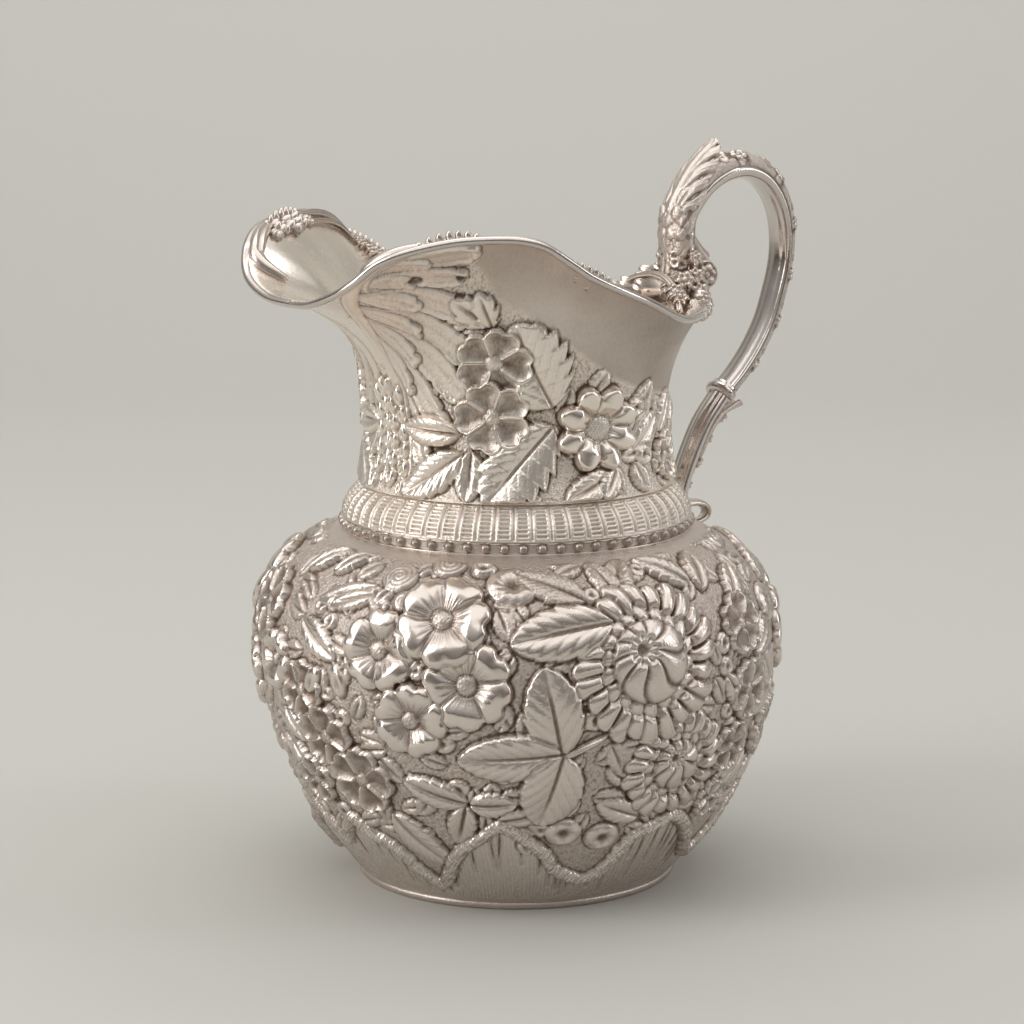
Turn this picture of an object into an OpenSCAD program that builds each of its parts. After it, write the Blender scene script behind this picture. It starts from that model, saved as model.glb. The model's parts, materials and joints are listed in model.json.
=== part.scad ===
// Chased silver water pitcher: bulbous body, beaded collar, flared neck with a pouring lip,
// cast ornaments along the rim and a hollow cast handle.
// Millimetres. Z is up, the resting plane is Z = 0, the spout points to -X and the handle to +X.

/* [Body] */
// Widest outer radius of the body
body_r = 79.0; // [70:0.1:90]
// Outer radius of the plain base edge
base_r = 49.0; // [40:0.1:60]
// Thickness of the raised sheet
wall = 1.2; // [0.8:0.1:2.5]

/* [Collar] */
// Height at which the body ends and the bead row starts
seam_z = 108.6; // [100:0.1:115]
// Outer radius of the bead row's ring
seam_r = 53.8; // [48:0.1:60]
// Radius of each bead
bead_r = 1.7; // [1:0.1:3]
// Beads in the row
bead_count = 60; // [40:1:80]

/* [Neck and lip] */
// Height at which the collar ends and the neck starts
neck_z = 122.5; // [116:0.1:130]
// Outer radius of the neck where it starts
neck_r = 47.4; // [44:0.1:56]
// Radius of the plain wire along the lip
lip_wire_r = 1.3; // [0.8:0.1:2.5]

/* [Handle] */
// Half width of the handle strap
strap_a = 5.9; // [5:0.1:12]
// Half thickness of the handle strap
strap_b = 4.4; // [2:0.1:6]
// Thickness of each cast half
cast_wall = 1.2; // [0.8:0.1:2]

/* [Output] */
// Piece to draw

/* [Hidden] */

round_fn = 96;
foot_h = 2.2;
disc_h = 1.2;
ring_h = 3.6;

silver = [0.80, 0.77, 0.73];
satin = [0.72, 0.69, 0.65];
dark = [0.60, 0.57, 0.53];

// Depth to which a soldered ornament sinks into what it sits on
bite = 0.3;
// Half thickness of the lower branch
branch_b = 2.2;

// Outer profile of the body: [height, radius] as a share of the widest radius
body_rows = [
    [2.2, 0.619], [6, 0.656], [12, 0.715], [20, 0.787], [28, 0.843], [36, 0.889], [44, 0.928],
    [52, 0.959], [60, 0.986], [68, 1.0], [76, 1.0], [84, 0.990], [90, 0.965], [96, 0.919],
    [101, 0.856], [105, 0.778], [seam_z, seam_r / body_r]
];

// Rim of the mouth: [angle from the spout, radius, height]
rim_rows = [
    [0, 79.5, 181.5], [8, 81.5, 182.5], [16, 83, 186], [21, 83, 190], [26, 81.5, 195.5],
    [33, 78.5, 199.5], [41, 73.5, 201.8], [49, 70.5, 202.4], [56, 68.8, 202], [62, 67.5, 200],
    [68, 66.5, 195.5], [74, 65.5, 191], [82, 64, 187], [94, 62, 182], [103, 60.5, 178],
    [112, 59, 175.5], [125, 57.5, 175], [145, 56.5, 175], [180, 56, 175.5]
];

// Centre line of the upper handle in the mirror plane: [share of length, x, z]
strap_rows = [
    [0, 60.5, 176], [0.08, 61.8, 187], [0.165, 62.3, 199], [0.215, 65.8, 205],
    [0.27, 71.3, 210.3], [0.325, 78.5, 213.8], [0.385, 86.6, 214.6], [0.44, 94, 212],
    [0.497, 99.6, 206.5], [0.55, 102.9, 199.8], [0.61, 104.2, 191.6], [0.67, 103.6, 183],
    [0.737, 101.2, 174], [0.81, 97.7, 164.6], [0.88, 92.4, 156], [0.95, 86, 148.5], [1.0, 79.95, 143.05]
];

// Centre line of the lower branch: [share of length, x, z]
branch_rows = [
    [0, 79.4, 142.4], [0.25, 72.6, 134.2], [0.45, 68.4, 126.7], [0.65, 64.9, 118.9],
    [0.81, 62.9, 112.7], [1.0, 62.0, 104.6]
];

// ---------------------------------------------------------------- curves

// Index of the row pair that holds x
function row_at(rows, x, i = 0) =
    (i >= len(rows) - 2 || x < rows[i + 1][0]) ? i : row_at(rows, x, i + 1);

// Slope of column k at row i
function slope(rows, i, k) =
    let (a = max(i - 1, 0), b = min(i + 1, len(rows) - 1))
    (rows[b][k] - rows[a][k]) / (rows[b][0] - rows[a][0]);

// Smooth curve through column k of the rows
function curve(rows, x, k) =
    let (
        i = row_at(rows, x),
        h = rows[i + 1][0] - rows[i][0],
        t = (x - rows[i][0]) / h,
        m0 = slope(rows, i, k) * h,
        m1 = slope(rows, i + 1, k) * h
    )
    (2 * t ^ 3 - 3 * t ^ 2 + 1) * rows[i][k] + (t ^ 3 - 2 * t ^ 2 + t) * m0
    + (3 * t ^ 2 - 2 * t ^ 3) * rows[i + 1][k] + (t ^ 3 - t ^ 2) * m1;

// Angle from the spout, 0 to 180, of a turn angle 0 to 360
function from_spout(a) = a > 180 ? 360 - a : a;
function rim_r(a) = curve(rim_rows, from_spout(a), 1);
function rim_z(a) = curve(rim_rows, from_spout(a), 2);

// Point in space at a turn angle from the spout, a radius and a height
function around(a, r, z) = [-r * cos(a), -r * sin(a), z];
function rim_point(a, out = 0, up = 0) = around(a, rim_r(a) + out, rim_z(a) + up);

function bezier(p, t) =
    (1 - t) ^ 3 * p[0] + 3 * (1 - t) ^ 2 * t * p[1] + 3 * (1 - t) * t ^ 2 * p[2] + t ^ 3 * p[3];
function bezier_dir(p, t) =
    let (d = 3 * (1 - t) ^ 2 * (p[1] - p[0]) + 6 * (1 - t) * t * (p[2] - p[1])
        + 3 * t ^ 2 * (p[3] - p[2]))
    d / norm(d);

// Meridian of the neck at one turn angle: control points in [radius, height]
function neck_arc(a) =
    let (r = rim_r(a), z = rim_z(a), flare = max((r - 58) / 24, 0))
    [
        [neck_r, neck_z],
        [neck_r - 4, neck_z + 14.5],
        [neck_r - 2.9 - 6.5 * flare, neck_z + 38.5 + 0.5 * (z - 176) + 10.5 * flare],
        [r, z]
    ];

// Point on the neck, pushed inward by depth along the sheet's normal
function neck_point(a, t, depth) =
    let (
        p = bezier(neck_arc(a), t),
        d = bezier_dir(neck_arc(a), t)
    )
    around(a, p[0] - depth * d[1], p[1] + depth * d[0]);

// Point and direction on a centre line that lies in the mirror plane
function line_point(rows, t) = [curve(rows, t, 1), 0, curve(rows, t, 2)];
function line_dir(rows, t) =
    let (e = 0.01, d = line_point(rows, min(t + e, 1)) - line_point(rows, max(t - e, 0)))
    d / norm(d);
function line_out(rows, t) = let (d = line_dir(rows, t)) [-d[2], 0, d[0]];

// ---------------------------------------------------------------- solids from rings

// Solid through rings of equal size, closed at both ends. A thin ring has its outer points first
// and its inner points in reverse, and its ends are closed by strips between the two
module loft(rings, thin = false) {
    n = len(rings[0]);
    m = len(rings);
    e = (m - 1) * n;
    sides = [
        for (j = [0 : m - 2], i = [0 : n - 1])
        let (a = j * n + i, b = j * n + (i + 1) % n)
        each [[a, b, b + n], [a, b + n, a + n]]
    ];
    fans = [
        for (i = [1 : n - 2])
        each [[0, i + 1, i], [e, e + i, e + i + 1]]
    ];
    strips = [
        for (i = [0 : n / 2 - 2])
        let (k = n - 1 - i)
        each [[i, k, k - 1], [i, k - 1, i + 1], [e + i, e + k - 1, e + k], [e + i, e + i + 1, e + k - 1]]
    ];
    polyhedron(
        points = [for (ring = rings) each ring],
        faces = concat(sides, thin ? strips : fans),
        convexity = 8
    );
}

// Solid through rings that also closes from the last ring back to the first
module closed_loft(rings) {
    n = len(rings[0]);
    m = len(rings);
    sides = [
        for (j = [0 : m - 1], i = [0 : n - 1])
        let (a = j * n + i, b = j * n + (i + 1) % n, k = ((j + 1) % m) * n)
        each [[a, b, k + (i + 1) % n], [a, k + (i + 1) % n, k + i]]
    ];
    polyhedron(points = [for (ring = rings) each ring], faces = sides, convexity = 8);
}

// Round rod along a list of points, with a radius for each point
module rod(points, radii, n = 10) {
    m = len(points);
    rings = [
        for (j = [0 : m - 1])
        let (
            d = points[min(j + 1, m - 1)] - points[max(j - 1, 0)],
            side = cross(d, [0.05, 0.02, 1]),
            u = side / norm(side),
            w = cross(u, d) / norm(cross(u, d))
        )
        [for (i = [0 : n - 1]) points[j] + radii[j] * (u * cos(i * 360 / n) + w * sin(i * 360 / n))]
    ];
    loft(rings);
}

// Thin shell between two heights, from the body's outer profile
module body_shell(z0, z1, steps) {
    outer = [
        for (i = [0 : steps])
        let (z = z0 + (z1 - z0) * i / steps)
        [body_r * curve(body_rows, z, 1), z]
    ];
    inner = [
        for (i = [steps : -1 : 0])
        let (
            a = outer[min(i + 1, steps)] - outer[max(i - 1, 0)],
            d = a / norm(a),
            p = outer[i] + wall * [-d[1], d[0]]
        )
        [p[0], min(max(p[1], z0), z1)]
    ];
    rotate_extrude($fn = round_fn)
        polygon(concat(outer, inner));
}

// Rosette: rounded petals on a disc with a domed centre, facing +Z
module rosette(r, petals, h) {
    cylinder(h = h * 0.45, r = r * 0.55, $fn = 24);
    for (i = [0 : petals - 1])
        rotate([0, 0, i * 360 / petals])
            translate([r * 0.62, 0, 0])
                cylinder(h = h * 0.7, r1 = r * 0.36, r2 = r * 0.27, $fn = 20);
    cylinder(h = h, r1 = r * 0.34, r2 = r * 0.18, $fn = 20);
}

// Places children at a rim angle, facing inward from the sheet's inner face
module on_rim(a, t, depth, tip = 0) {
    p = neck_point(a, t, depth);
    d = bezier_dir(neck_arc(a), t);
    translate(p)
        rotate([0, 0, a + 180])
            rotate([0, atan2(d[0], d[1]) - 90 + tip, 0])
                children();
}

// Draws the children and their mirror image across the mirror plane
module both_sides() {
    children();
    mirror([0, 1, 0])
        children();
}

// ---------------------------------------------------------------- vessel

module base_disc() {
    color(satin)
        translate([0, 0, foot_h - disc_h])
            cylinder(h = disc_h, r = base_r - 2.2, $fn = round_fn);
}

module foot_wire() {
    color(silver)
        rotate_extrude($fn = round_fn)
            polygon([
                [base_r - 2.2, 0], [base_r - 0.5, 0], [base_r, 0.6], [base_r, foot_h],
                [base_r - 2.2, foot_h]
            ]);
}

module lower_body() {
    color(silver)
        body_shell(foot_h, seam_z, 34);
}

module bead_row() {
    color(silver)
        union() {
            rotate_extrude($fn = round_fn)
                polygon([
                    [seam_r - wall - 0.8, seam_z], [seam_r + 0.9, seam_z],
                    [seam_r + 0.9, seam_z + 0.7], [seam_r, seam_z + 0.9],
                    [seam_r - 0.6, seam_z + ring_h], [seam_r - wall - 1.4, seam_z + ring_h]
                ]);
            for (i = [0 : bead_count - 1])
                rotate([0, 0, (i + 0.5) * 360 / bead_count])
                    translate([seam_r - 0.5, 0, seam_z + ring_h / 2 + 0.2])
                        sphere(r = bead_r, $fn = 20);
        }
}

module collar_band() {
    z0 = seam_z + ring_h;
    color(satin)
        rotate_extrude($fn = round_fn)
            polygon([
                [seam_r - 0.7, z0], [seam_r - 0.4, z0 + 0.9], [seam_r - 1.2, z0 + 4.2],
                [seam_r - 3.1, z0 + 7.4], [neck_r + 1.1, neck_z - 0.8], [neck_r, neck_z],
                [neck_r - wall, neck_z], [neck_r - wall + 0.6, neck_z - 1.4],
                [seam_r - wall - 3.4, z0 + 6.8], [seam_r - wall - 1.6, z0 + 4],
                [seam_r - wall - 0.9, z0]
            ]);
}

module neck_and_spout() {
    turns = 90;
    rise = 14;
    rings = [
        for (j = [0 : turns - 1])
        let (a = j * 360 / turns)
        concat(
            [for (i = [0 : rise]) i == 0 ? around(a, neck_r, neck_z) : neck_point(a, i / rise, 0)],
            [
                for (i = [rise : -1 : 0])
                i == 0 ? around(a, neck_r - wall, neck_z) : neck_point(a, i / rise, wall)
            ]
        )
    ];
    color(silver)
        closed_loft(rings);
}

module lip_wire() {
    turns = 96;
    n = 10;
    rings = [
        for (j = [0 : turns - 1])
        let (
            a = j * 360 / turns,
            d = bezier_dir(neck_arc(a), 1),
            c = neck_point(a, 1, wall / 2) + lip_wire_r * around(a, d[0], d[1]),
            u = around(a, d[0], d[1]),
            w = around(a, d[1], -d[0])
        )
        [
            for (i = [0 : n - 1])
            c + lip_wire_r * (u * cos((i + 0.5) * 360 / n) - w * sin((i + 0.5) * 360 / n))
        ]
    ];
    color(silver)
        closed_loft(rings);
}

// ---------------------------------------------------------------- rim ornaments

// One convex C-scroll on the inner face of the rim between two angles: sag is how far its ends
// drop below its middle along the sheet, rise is how far its middle stands above the edge
module rim_scroll(a0, a1, thick, sag, rise = 0) {
    steps = 18;
    radii = [for (i = [0 : steps]) thick * (0.55 + 0.45 * sin(180 * i / steps))];
    points = [
        for (i = [0 : steps])
        let (s = i / steps, a = a0 + (a1 - a0) * s)
        neck_point(a, 0.975 - sag * (1 - sin(180 * s)), wall + radii[i] - bite)
        + [0, 0, rise * sin(180 * s)]
    ];
    rod(points, radii, 10);
}

// A small bunch of rosettes on the inner face of the rim
module rim_bunch(mid, span, r) {
    on_rim(mid, 0.965, wall + 0.05)
        rosette(r * 1.2, 6, 3.4);
    for (s = [-1, 1])
        on_rim(mid + s * span, 0.955, wall + 0.05)
            rosette(r, 5, 2.8);
}

module rim_scrolls_front() {
    color(silver)
        both_sides()
            rim_scroll(15, 37, 1.7, 0.08);
}

module rim_flowers_front() {
    color(silver)
        both_sides()
            rim_bunch(45, 4.6, 4.0);
}

module rim_scrolls_side() {
    color(silver)
        both_sides()
            rim_scroll(52, 68, 1.5, 0.08);
}

module rim_flowers_side() {
    color(silver)
        both_sides()
            rim_bunch(76.5, 5.2, 3.8);
}

module rim_scrolls_back() {
    color(silver)
        rim_scroll(157, 203, 1.6, 0.06, 6.0);
}

// ---------------------------------------------------------------- handle

// Half width and half thickness of the strap along its length
function strap_half_w(t) = strap_a * (1 - 0.12 * min(max((t - 0.3) / 0.3, 0), 1));
function strap_half_t(t) = strap_b * (1 - 0.48 * min(max((t - 0.36) / 0.3, 0), 1));

// Half shell on one side of the centre line: side = 1 outer and domed, -1 inner and shallow
module strap_half(side, t0, t1) {
    steps = 44;
    n = 12;
    rings = [
        for (j = [0 : steps])
        let (
            t = t0 + (t1 - t0) * j / steps,
            c = line_point(strap_rows, t),
            o = line_out(strap_rows, t) * side,
            a = strap_half_w(t),
            b = strap_half_t(t) * (side > 0 ? 1.05 : (t < 0.5 ? 0.95 : 0.95 - 0.25 * (t - 0.5) / 0.5))
        )
        concat(
            [
                for (i = [0 : n])
                c + [0, a * cos(i * 180 / n) * side, 0] + o * b * sin(i * 180 / n) ^ 0.6
            ],
            [
                for (i = [n : -1 : 0])
                c + [0, (a - cast_wall) * cos(i * 180 / n) * side, 0]
                + o * max(b - cast_wall, 0.2) * sin(i * 180 / n) ^ 0.6
            ]
        )
    ];
    loft(rings, thin = true);
}

module handle_outer_half() {
    color(silver)
        strap_half(1, 0.0, 1.0);
}

module handle_inner_half() {
    color(silver)
        strap_half(-1, 0.0, 1.0);
}

// Leaf blade over the handle's front face, standing off the strap towards its tip
module handle_thumb_leaf() {
    steps = 26;
    rings = [
        for (j = [0 : steps])
        let (
            s = j / steps,
            t = 0.10 + 0.225 * s,
            c = line_point(strap_rows, t),
            o = line_out(strap_rows, t),
            lift = strap_half_t(t) - bite + 4.87 * s ^ 3,
            w = strap_a * (0.5 + 0.75 * sin(180 * min(s * 0.7 + 0.2, 1)) ^ 0.8) * (1 - s ^ 4),
            lobes = 1 + 0.10 * sin(360 * 4 * s),
            h = 1.5
        )
        [
            for (i = [0 : 8])
            let (u = i / 4 - 1)
            c + [0, (w * lobes + 0.4) * u, 0] + o * (lift + h * (1 - 0.7 * u ^ 2)),
            for (i = [8 : -1 : 0])
            let (u = i / 4 - 1)
            c + [0, (w * lobes + 0.4) * u, 0] + o * lift
        ]
    ];
    color(silver)
        loft(rings, thin = true);
}

// Volute behind the handle's root, with a rosette on each side face
module handle_root_scroll() {
    color(silver)
        translate([69.9, 0, 181.4])
            union() {
                rotate([90, 0, 0])
                    cylinder(h = 8.6, r = 4.9, center = true, $fn = 48);
                for (s = [-1, 1])
                    translate([0, s * 4.2, 0])
                        rotate([-90 * s, 0, 0])
                            rosette(4.8, 6, 1.8);
            }
}

// Bunch of flowers that hides the joint between the handle and the rim
module handle_root_flowers() {
    spots = [
        [61.5, 7.5, 173.5, 4.8, 30], [61.5, -7.5, 173.5, 4.8, 30], [67.4, 0, 171, 5.0, -5],
        [57.5, 13, 175.5, 4.2, 35], [57.5, -13, 175.5, 4.2, 35]
    ];
    color(silver)
        union() {
            translate([62.4, 0, 172.6])
                scale([0.78, 1.9, 0.72])
                    sphere(r = 6.6, $fn = 32);
            translate([59.6, 0, 174.2])
                rotate([90, 0, 0])
                    cylinder(h = 29, r = 3.0, center = true, $fn = 28);
            for (p = spots)
                translate([p[0], p[1], p[2]])
                    rotate([0, 0, atan2(p[1], p[0] - 55)])
                        rotate([0, 90 - p[4], 0])
                            rosette(p[3], 5, 3.0);
        }
}

// Oblique flange where the upper handle meets the lower branch
module handle_joint_collar() {
    color(silver)
        translate([79.6, 0, 142.7])
            rotate([0, 42, 0])
                scale([0.62, 1, 1])
                    cylinder(h = 1.7, r1 = 5.6, r2 = 6.4, center = true, $fn = 40);
}

module handle_lower_branch() {
    steps = 24;
    n = 20;
    rings = [
        for (j = [0 : steps])
        let (
            t = j / steps,
            c = line_point(branch_rows, t),
            o = line_out(branch_rows, t),
            a = 4.7 - 0.5 * t,
            b = branch_b
        )
        [for (i = [0 : n - 1]) c + [0, a * cos(i * 360 / n), 0] + o * b * sin(i * 360 / n)]
    ];
    color(silver)
        loft(rings);
}

// Textured leaf along the branch's outer face, ending in a free spur at the top
module handle_lower_leaf() {
    steps = 22;
    rings = [
        for (j = [0 : steps])
        let (
            s = j / steps,
            t = 0.05 + 0.74 * s,
            c = line_point(branch_rows, t),
            o = line_out(branch_rows, t),
            lift = branch_b - bite + 3.6 * (1 - s) ^ 6,
            w = 4.6 * (0.35 + 0.65 * sin(180 * (0.10 + 0.80 * s)))
        )
        [
            for (i = [0 : 6])
            let (u = i / 3 - 1)
            c + [0, w * u, 0] + o * (lift + 1.3 - 0.9 * u ^ 2),
            for (i = [6 : -1 : 0])
            let (u = i / 3 - 1)
            c + [0, w * u, 0] + o * lift
        ]
    ];
    color(dark)
        loft(rings, thin = true);
}

// Small scroll that curls outward where the branch lands on the shoulder
module handle_foot_scroll() {
    steps = 20;
    points = [
        for (i = [0 : steps])
        let (s = i / steps, a = 170 - 330 * s, r = 6.2 - 4.0 * s)
        [69.4 + 1.15 * r * cos(a), 0, 105.2 + 0.62 * r * sin(a) - 2.2 * s]
    ];
    radii = [for (i = [0 : steps]) 1.9 - 0.6 * i / steps];
    color(silver)
        rod(points, radii, 12);
}

// ---------------------------------------------------------------- output

base_disc();
foot_wire();
lower_body();
collar_band();
bead_row();
neck_and_spout();
lip_wire();
rim_scrolls_front();
rim_flowers_front();
rim_scrolls_side();
rim_flowers_side();
rim_scrolls_back();
handle_outer_half();
handle_inner_half();
handle_thumb_leaf();
handle_root_scroll();
handle_root_flowers();
handle_joint_collar();
handle_lower_branch();
handle_lower_leaf();
handle_foot_scroll();
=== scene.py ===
"""Chased silver water pitcher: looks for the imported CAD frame."""
import json
import math

import bpy
import numpy as np

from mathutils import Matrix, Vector

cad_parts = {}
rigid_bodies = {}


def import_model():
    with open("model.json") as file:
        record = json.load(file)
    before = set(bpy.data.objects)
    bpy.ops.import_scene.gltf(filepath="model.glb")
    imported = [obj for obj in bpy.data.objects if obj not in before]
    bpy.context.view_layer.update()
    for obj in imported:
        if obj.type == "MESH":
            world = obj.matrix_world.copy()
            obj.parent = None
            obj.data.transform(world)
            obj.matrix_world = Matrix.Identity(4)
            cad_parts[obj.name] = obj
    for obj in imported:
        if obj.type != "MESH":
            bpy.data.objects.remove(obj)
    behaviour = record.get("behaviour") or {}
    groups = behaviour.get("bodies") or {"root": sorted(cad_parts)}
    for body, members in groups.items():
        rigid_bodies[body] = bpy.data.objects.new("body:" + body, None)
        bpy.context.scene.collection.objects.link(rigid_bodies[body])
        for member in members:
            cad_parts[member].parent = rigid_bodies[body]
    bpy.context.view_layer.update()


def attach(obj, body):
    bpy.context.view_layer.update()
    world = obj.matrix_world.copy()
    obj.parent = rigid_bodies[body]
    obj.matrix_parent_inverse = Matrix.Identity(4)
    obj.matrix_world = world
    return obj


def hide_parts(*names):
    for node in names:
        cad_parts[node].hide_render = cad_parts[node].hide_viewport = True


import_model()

MM = 0.001
TURN = 2 * math.pi

# ------------------------------------------------------------------ dimensions, mm (as in part.scad)

BODY_R, SEAM_Z, SEAM_R, FOOT_H = 79.0, 108.6, 53.8, 2.2
NECK_Z, NECK_R, WALL = 122.5, 47.4, 1.2
BASE_R = 49.0
RING_TOP = SEAM_Z + 3.6
LIP_WIRE_R = 1.3

BODY_ROWS = np.array([
    (2.2, .619), (6, .656), (12, .715), (20, .787), (28, .843), (36, .889), (44, .928), (52, .959),
    (60, .986), (68, 1.0), (76, 1.0), (84, .990), (90, .965), (96, .919), (101, .856), (105, .778),
    (SEAM_Z, SEAM_R / BODY_R),
])
RIM_ROWS = np.array([
    (0, 79.5, 181.5), (8, 81.5, 182.5), (16, 83, 186), (21, 83, 190), (26, 81.5, 195.5),
    (33, 78.5, 199.5), (41, 73.5, 201.8), (49, 70.5, 202.4), (56, 68.8, 202), (62, 67.5, 200),
    (68, 66.5, 195.5), (74, 65.5, 191), (82, 64, 187), (94, 62, 182), (103, 60.5, 178),
    (112, 59, 175.5), (125, 57.5, 175), (145, 56.5, 175), (180, 56, 175.5),
])
STRAP_ROWS = np.array([
    (0, 60.5, 176), (.08, 61.8, 187), (.165, 62.3, 199), (.215, 65.8, 205), (.27, 71.3, 210.3),
    (.325, 78.5, 213.8), (.385, 86.6, 214.6), (.44, 94, 212), (.497, 99.6, 206.5),
    (.55, 102.9, 199.8), (.61, 104.2, 191.6), (.67, 103.6, 183), (.737, 101.2, 174),
    (.81, 97.7, 164.6), (.88, 92.4, 156), (.95, 86, 148.5), (1.0, 79.95, 143.05),
])
BRANCH_ROWS = np.array([
    (0, 79.4, 142.4), (.25, 72.6, 134.2), (.45, 68.4, 126.7), (.65, 64.9, 118.9), (.81, 62.9, 112.7),
    (1.0, 62.0, 104.6),
])


def smooth(lo, hi, x):
    t = np.clip((x - lo) / (hi - lo), 0, 1)
    return t * t * (3 - 2 * t)


def curve(rows, x, k):
    """Smooth curve through column k of the rows, the same one that the CAD uses."""
    x = np.asarray(x, float)
    xs, ys = rows[:, 0], rows[:, k]
    n = len(xs)
    lo, hi = np.maximum(np.arange(n) - 1, 0), np.minimum(np.arange(n) + 1, n - 1)
    slope = (ys[hi] - ys[lo]) / (xs[hi] - xs[lo])
    i = np.clip(np.searchsorted(xs, x, "right") - 1, 0, n - 2)
    h = xs[i + 1] - xs[i]
    t = (x - xs[i]) / h
    return ((2 * t**3 - 3 * t**2 + 1) * ys[i] + (t**3 - 2 * t**2 + t) * slope[i] * h
            + (3 * t**2 - 2 * t**3) * ys[i + 1] + (t**3 - t**2) * slope[i + 1] * h)


def blur(a, rows, cols, wrap=True):
    """Box blur, twice, over a number of rows and columns."""
    for _ in range(2):
        for axis, n in ((0, rows), (1, cols)):
            mode = "wrap" if (axis == 1 and wrap) else "edge"
            pad = [(0, 0), (0, 0)]
            pad[axis] = (n, n)
            c = np.cumsum(np.pad(a, pad, mode=mode), axis=axis)
            c = np.insert(c, 0, 0, axis=axis)
            w = 2 * n + 1
            a = (np.take(c, range(w, c.shape[axis]), axis=axis)
                 - np.take(c, range(0, c.shape[axis] - w), axis=axis)) / w
    return a


# ------------------------------------------------------------------ chased relief


class Relief:
    """Height (mm), polish and tarnish over a sheet. Columns run round it and rows run along it."""

    def __init__(self, around, along, radius, period=None):
        self.around, self.along, self.radius, self.period = around, along, radius, period
        self.h = np.zeros(along.shape)
        self.polish = np.zeros(along.shape)
        self.dark = np.zeros(along.shape)
        self.low, self.high = along.min(1), along.max(1)

    def window(self, a0, s0, reach):
        da = self.around - a0
        if self.period:
            da = (da + self.period / 2) % self.period - self.period / 2
        cols = np.nonzero(np.abs(da) * self.radius.min() * 0.9 < reach)[0]
        rows = np.nonzero((self.low < s0 + reach) & (self.high > s0 - reach))[0]
        if not len(cols) or not len(rows):
            return None
        ix = np.ix_(rows, cols)
        x = da[cols][None, :] * self.radius[ix]
        y = self.along[ix] - s0
        return ix, x, y

    def put(self, ix, d, h, polish, dark, line=0.5, cut=0.30):
        """Lays a motif over what is there. d is the distance inside its outline."""
        m = smooth(-0.2, 0.25, d)
        rim = np.exp(-(((d + 0.28) / 0.30) ** 2)) * (1 - m)
        self.h[ix] = self.h[ix] * (1 - m) + h * m - cut * rim
        self.polish[ix] = self.polish[ix] * (1 - m) + polish * m
        self.dark[ix] = np.maximum(self.dark[ix] * (1 - m) + dark * m, line * rim)

    def stamp(self, at, turn, motif, reach, line=0.5, cut=0.30):
        got = self.window(at[0], at[1], reach)
        if got is None:
            return
        ix, x, y = got
        c, s = math.cos(math.radians(turn)), math.sin(math.radians(turn))
        d, h, polish, dark = motif(x * c + y * s, y * c - x * s)
        self.put(ix, d, h, polish, dark, line, cut)


def petal(r, half, kind, lift, seed):
    """One petal, from the flower's centre out along +x."""
    def f(x, y):
        t = x / r
        wide_at = 0.56 if kind == "plain" else 0.60
        notch = 0.0 if kind == "plain" else 0.09 * np.exp(-((y / (0.12 * r)) ** 2))
        power = 1.9 if kind == "plain" else 2.3
        tip = np.clip((t - wide_at) / (1 - wide_at - notch), 0, 3)
        base = 0.62 if kind == "plain" else 0.85
        w = half * np.clip(t / wide_at, 0.02, 1) ** base
        q = np.abs(y) / np.maximum(w, 0.01)
        d = np.where(t < wide_at, (w - np.abs(y)) * 0.85,
                     (1 - (tip**power + (np.abs(y) / half) ** power) ** (1 / power)) * (1 - wide_at) * r)
        d = np.minimum(d, x - 0.1 * r)
        edge = np.clip(d / 1.5, 0, 1)
        side = np.sqrt(np.clip(1 - 0.85 * q * q, 0, 1))
        a = np.arctan2(y, np.maximum(x, 0.01))
        if kind == "cup":
            bowl = 1 - (1 - np.clip(d / (0.72 * half), 0, 1)) ** 1.6
            wall = np.exp(-(((d - 0.35) / 0.40) ** 2))
            root = smooth(0.55, 0.25, t)
            h = lift + 2.2 - 2.0 * bowl + 0.3 * wall + 0.08 * np.sin(a * 9 + seed) * bowl - 0.3 * root
            dark = 1.15 * bowl * (1 - wall) + 0.20 * root + 0.10 * np.sin(a * 9 + seed) * bowl
            return d, h, 0.62 + 0.36 * wall, dark
        if kind == "plain":
            rise = 0.35 + 1.15 * smooth(0.2, 0.60, t)
            h = lift + 2.0 * rise * side * (1 - 0.45 * (1 - edge) ** 2)
            fold = np.exp(-((y / 0.40) ** 2)) * smooth(0.52, 0.30, t)
            return d, h - 0.5 * fold, np.full_like(x, 1.0), 0.45 * fold + 0.2 * smooth(0.45, 0.25, t)
        rise = 0.30 + 1.0 * smooth(0.2, 0.66, t) - 0.35 * smooth(0.80, 1.0, t)
        h = lift + 2.0 * rise * (0.25 + 0.75 * side) * (1 - 0.4 * (1 - edge) ** 2)
        h = h - 0.35 * np.exp(-((y / (0.10 * r)) ** 2)) * smooth(0.62, 0.95, t)
        count = 38
        rib = 0.5 + 0.5 * np.cos(a * count + seed)
        length = 0.58 + 0.12 * np.sin(a * count * 0.5 + seed * 3)
        depth = smooth(length, 0.25, t)
        h = h - (0.35 * rib + 0.1) * depth
        return d, h, 1.0 - 0.3 * depth, (0.75 * rib + 0.15) * depth
    return f


def button(r, height, granule=1.0):
    """Granulated round centre of a flower."""
    def f(x, y):
        rho = np.hypot(x, y)
        g = np.cos(TURN * x / granule + 1.7 * np.sin(y * 2.3)) * np.cos(TURN * y / granule + x)
        h = height * np.sqrt(np.clip(1 - 0.7 * (rho / r) ** 2, 0, 1)) + 0.24 * min(1, r / 2.5) * g
        return r - rho, h, 0.55 + 0.3 * g, 0.45 * smooth(0.2, -0.7, g) + 0.5 * smooth(0.7, 1, rho / r)
    return f


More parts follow.
